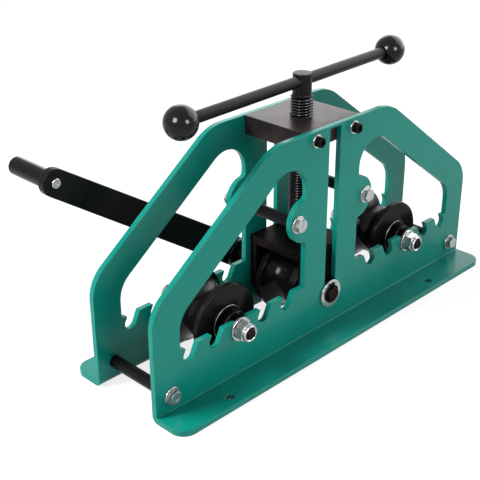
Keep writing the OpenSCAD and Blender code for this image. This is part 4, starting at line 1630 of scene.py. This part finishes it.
@dataclass
class Screw:
    """The lead screw and its ball-ended cross bar."""

    major: float = 12.0
    depth: float = 1.8
    pitch: float = 3.0
    shoulder: float = 97.0
    thread_top: float = 257.3
    journal: float = 7.0
    journal_bottom: float = 87.4
    head: float = 10.0
    top: float = 278.9
    bar: float = 6.0
    bar_z: float = 270.8
    bar_turn: float = 2.4
    ball_half_span: float = 164.0
    bar_offset: float = 9.0
    ball: float = 16.73
    ball_socket: float = 18.0

    @property
    def ball_flat(self) -> float:
        """Gives how far from its centre a ball is cut flat for the bar."""
        return math.sqrt(self.ball ** 2 - self.bar ** 2)

    def on_bar(self, along: float) -> Matrix:
        """Puts local Z on the bar's line, at a distance along it."""
        return (Matrix.Translation((0, 0, self.bar_z)) @ spun(self.bar_turn)
                @ Matrix.Translation((along, 0, 0)) @ Matrix.Rotation(math.pi / 2, 4, "Y"))

    def lead_screw(self) -> Solid:
        """Draws the screw with its thread, head, journal and cross hole.

        Returns:
            The screw, in place.
        """
        root = self.major - self.depth
        foot = self.shoulder
        head = Solid().rod(self.head, self.thread_top - 1, self.top, 72, head=0.9)
        head.carve(Solid().rod(self.bar + CLEARANCE, -15, 15, 48).move(self.on_bar(0)))
        journal = Solid().turned([
            (0, self.journal_bottom), (self.journal, self.journal_bottom), (self.journal, foot),
            (root - 0.6, foot), (root, foot + 0.6), (root, foot + 1.2), (0, foot + 1.2),
        ], 56)
        thread = Solid().thread(self.major, self.depth, self.pitch, foot + 1, self.thread_top, 56, 10)
        return head.join(journal).join(thread)

    def ball_knob(self) -> Solid:
        """Draws a ball that is flat where the bar enters it.

        Returns:
            The ball about Z, with its flat on +Z.
        """
        flat = self.ball_flat
        rim = math.degrees(math.acos(flat / self.ball))
        sweep = arc((0, 0), self.ball, -90, 90 - rim - 2, 4)
        mouth = [(self.bar + 0.9, flat + 0.02), (self.bar + 0.35, flat - 0.25), (self.bar + 0.1, flat - 1),
                 (0, flat - 1)]
        return Solid().turned([(max(r, 0.0), h) for r, h in sweep] + mouth, 80)

    def build(self, shop: Shop) -> None:
        """Makes the lead screw, the bar and its knobs.

        Args:
            shop: Makes the objects.
        """
        shop.piece("lead_screw_thread", self.lead_screw(), THREAD_STEEL, Body.SCREW, Slot.OXIDE, "lead_screw",
                   crease=25)
        half = self.ball_half_span - self.ball_flat + self.ball_socket
        bar = Solid().rod(self.bar, -half, half, 56, 0.6, 0.6).move(self.on_bar(-self.bar_offset))
        shop.piece("cross_bar_rod", bar, BLACK_PAINT, Body.BAR, Slot.PAINT, "cross_bar")
        for side, word in ((-1, "left"), (1, "right")):
            knob = self.ball_knob()
            if side > 0:
                knob.move(Matrix.Rotation(math.pi, 4, "X"))
            knob.move(self.on_bar(side * self.ball_half_span - self.bar_offset))
            shop.piece(f"{word}_ball", knob, KNOB_PLASTIC, Body.BAR, Slot.PLASTIC, f"{word}_ball_knob")


@dataclass
class Lamp:
    """A soft square lamp that looks at the middle of the machine."""

    name: str
    azimuth: float
    elevation: float
    distance: float
    size: float
    power: float
    fills: bool = True
    glints: bool = True

    def build(self, target: Vector) -> None:
        """Adds the lamp.

        Args:
            target: Where it points.
        """
        data = bpy.data.lights.new(self.name, "AREA")
        data.shape = "SQUARE"
        data.size = self.size
        data.energy = self.power
        item = linked(self.name, data)
        a, e = math.radians(self.azimuth), math.radians(self.elevation)
        aim = Vector((math.cos(a) * math.cos(e), math.sin(a) * math.cos(e), math.sin(e)))
        item.location = target + aim * self.distance
        item.rotation_euler = (-aim).to_track_quat("-Z", "Y").to_euler()
        item.visible_diffuse = self.fills
        item.visible_glossy = self.glints


@dataclass
class Studio:
    """The pale floor, the soft lamps and the camera."""

    azimuth: float = 45.22
    elevation: float = 26.06
    roll: float = 0.29
    eye: tuple[float, float, float] = (-733.5, -637.7, 565.1)
    focal_pixels: float = 986.9
    frame_pixels: float = 480.0
    sensor: float = 36.0
    floor_size: float = 12.0
    floor_share: float = 0.72
    floor_glow: float = 1.12
    ambient: float = 0.15
    target_height: float = 0.12
    lamps: tuple[Lamp, ...] = (
        Lamp("left_fill", 150, 40, 2.1, 0.9, 88, glints=False),
        Lamp("front_fill", 262, 8, 2.1, 0.9, 17, glints=False),
        Lamp("right_softbox", 345, 30, 2.1, 2.2, 52),
        Lamp("left_glint", 186, 31, 2.1, 0.8, 60, fills=False),
        Lamp("front_glint", 267, 22, 2.1, 0.7, 36, fills=False),
        Lamp("rear_glint", 42, 24, 2.6, 1.8, 22, fills=False),
    )

    def camera(self, shop: Shop) -> None:
        """Adds the camera at the angle of the photograph.

        Args:
            shop: Gives the middle of the machine.
        """
        a, e, r = (math.radians(v) for v in (self.azimuth, self.elevation, self.roll))
        ahead = Vector((math.sin(a) * math.cos(e), math.cos(a) * math.cos(e), -math.sin(e)))
        right = ahead.cross(Vector((0, 0, 1))).normalized()
        down = ahead.cross(right)
        side = right * math.cos(r) + down * math.sin(r)
        low = down * math.cos(r) - right * math.sin(r)
        data = bpy.data.cameras.new("camera")
        data.sensor_width = self.sensor
        data.lens = self.focal_pixels / self.frame_pixels * self.sensor
        item = linked("camera", data)
        turn = Matrix((side, -low, -ahead)).transposed().to_4x4()
        eye = Vector((self.eye[0] + shop.middle, self.eye[1], self.eye[2])) * MM
        item.matrix_world = Matrix.Translation(eye) @ turn
        bpy.context.scene.camera = item

    def floor(self) -> None:
        """Adds the floor, white to the camera but still taking the shadow."""
        half = self.floor_size / 2
        mesh = bpy.data.meshes.new("studio_floor")
        places = [(-half, -half, 0), (half, -half, 0), (half, half, 0), (-half, half, 0)]
        mesh.from_pydata([Vector(place) for place in places], [], [(0, 1, 2, 3)])
        g = Graph.of_material("pale_floor")
        paper = g.node("ShaderNodeBsdfDiffuse", None, {"Color": (0.8, 0.8, 0.8, 1)})
        glow = g.node("ShaderNodeEmission", None, {"Color": WHITE, "Strength": self.floor_glow})
        share = g.seen() * self.floor_share
        mixed = g.node("ShaderNodeMixShader", None, {0: share, 1: paper.outputs[0], 2: glow.outputs[0]})
        g.node("ShaderNodeOutputMaterial", None, {"Surface": mixed.outputs[0]})
        mesh.materials.append(g.owner)
        linked("studio_floor", mesh)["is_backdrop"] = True

    def world(self) -> None:
        """Sets the white surroundings and their softer light."""
        world = bpy.data.worlds.new("studio")
        bpy.context.scene.world = world
        g = Graph(world)
        dim, white = (g.node("ShaderNodeBackground", None, {"Color": WHITE, "Strength": strength})
                      for strength in (self.ambient, 1.0))
        mixed = g.node("ShaderNodeMixShader", None, {0: g.seen(), 1: dim.outputs[0], 2: white.outputs[0]})
        g.node("ShaderNodeOutputWorld", None, {"Surface": mixed.outputs[0]})

    def build(self, shop: Shop) -> None:
        """Makes the floor, the surroundings, the lamps and the camera.

        Args:
            shop: Gives the middle of the machine.
        """
        self.camera(shop)
        self.floor()
        self.world()
        target = Vector((shop.middle * MM, 0, self.target_height))
        for lamp in self.lamps:
            lamp.build(target)
        bpy.context.scene.view_settings.view_transform = "Standard"


def corners(box: Any) -> list[list[float]]:
    """Turns a box into plain lists of numbers."""
    return [[float(v) for v in corner] for corner in box]


def main() -> None:
    """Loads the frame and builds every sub-assembly."""
    logging.basicConfig(level=logging.INFO, format="%(name)s %(message)s")
    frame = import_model()
    cad_box = corners(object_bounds())
    low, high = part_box("top_block")
    shop = Shop(middle=(low.x + high.x) / 2 / MM)
    for part in (SidePlates(), TieRods(), TopBlock(), Rolls(), Yoke(), Drive(), Screw()):
        part.build(shop)
    for name in ("left_sleeve", "right_sleeve", "shaft_bushes"):
        shop.dress(frame["nodes"][name], BRONZE)
    for name in ("die_key", "hub_set_screw", "screw_ring"):
        shop.dress(frame["nodes"][name], DARK_STEEL)
    Studio().build(shop)
    {"cad": cad_box, "visual": corners(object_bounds())}


if __name__ == "__main__":
    main()
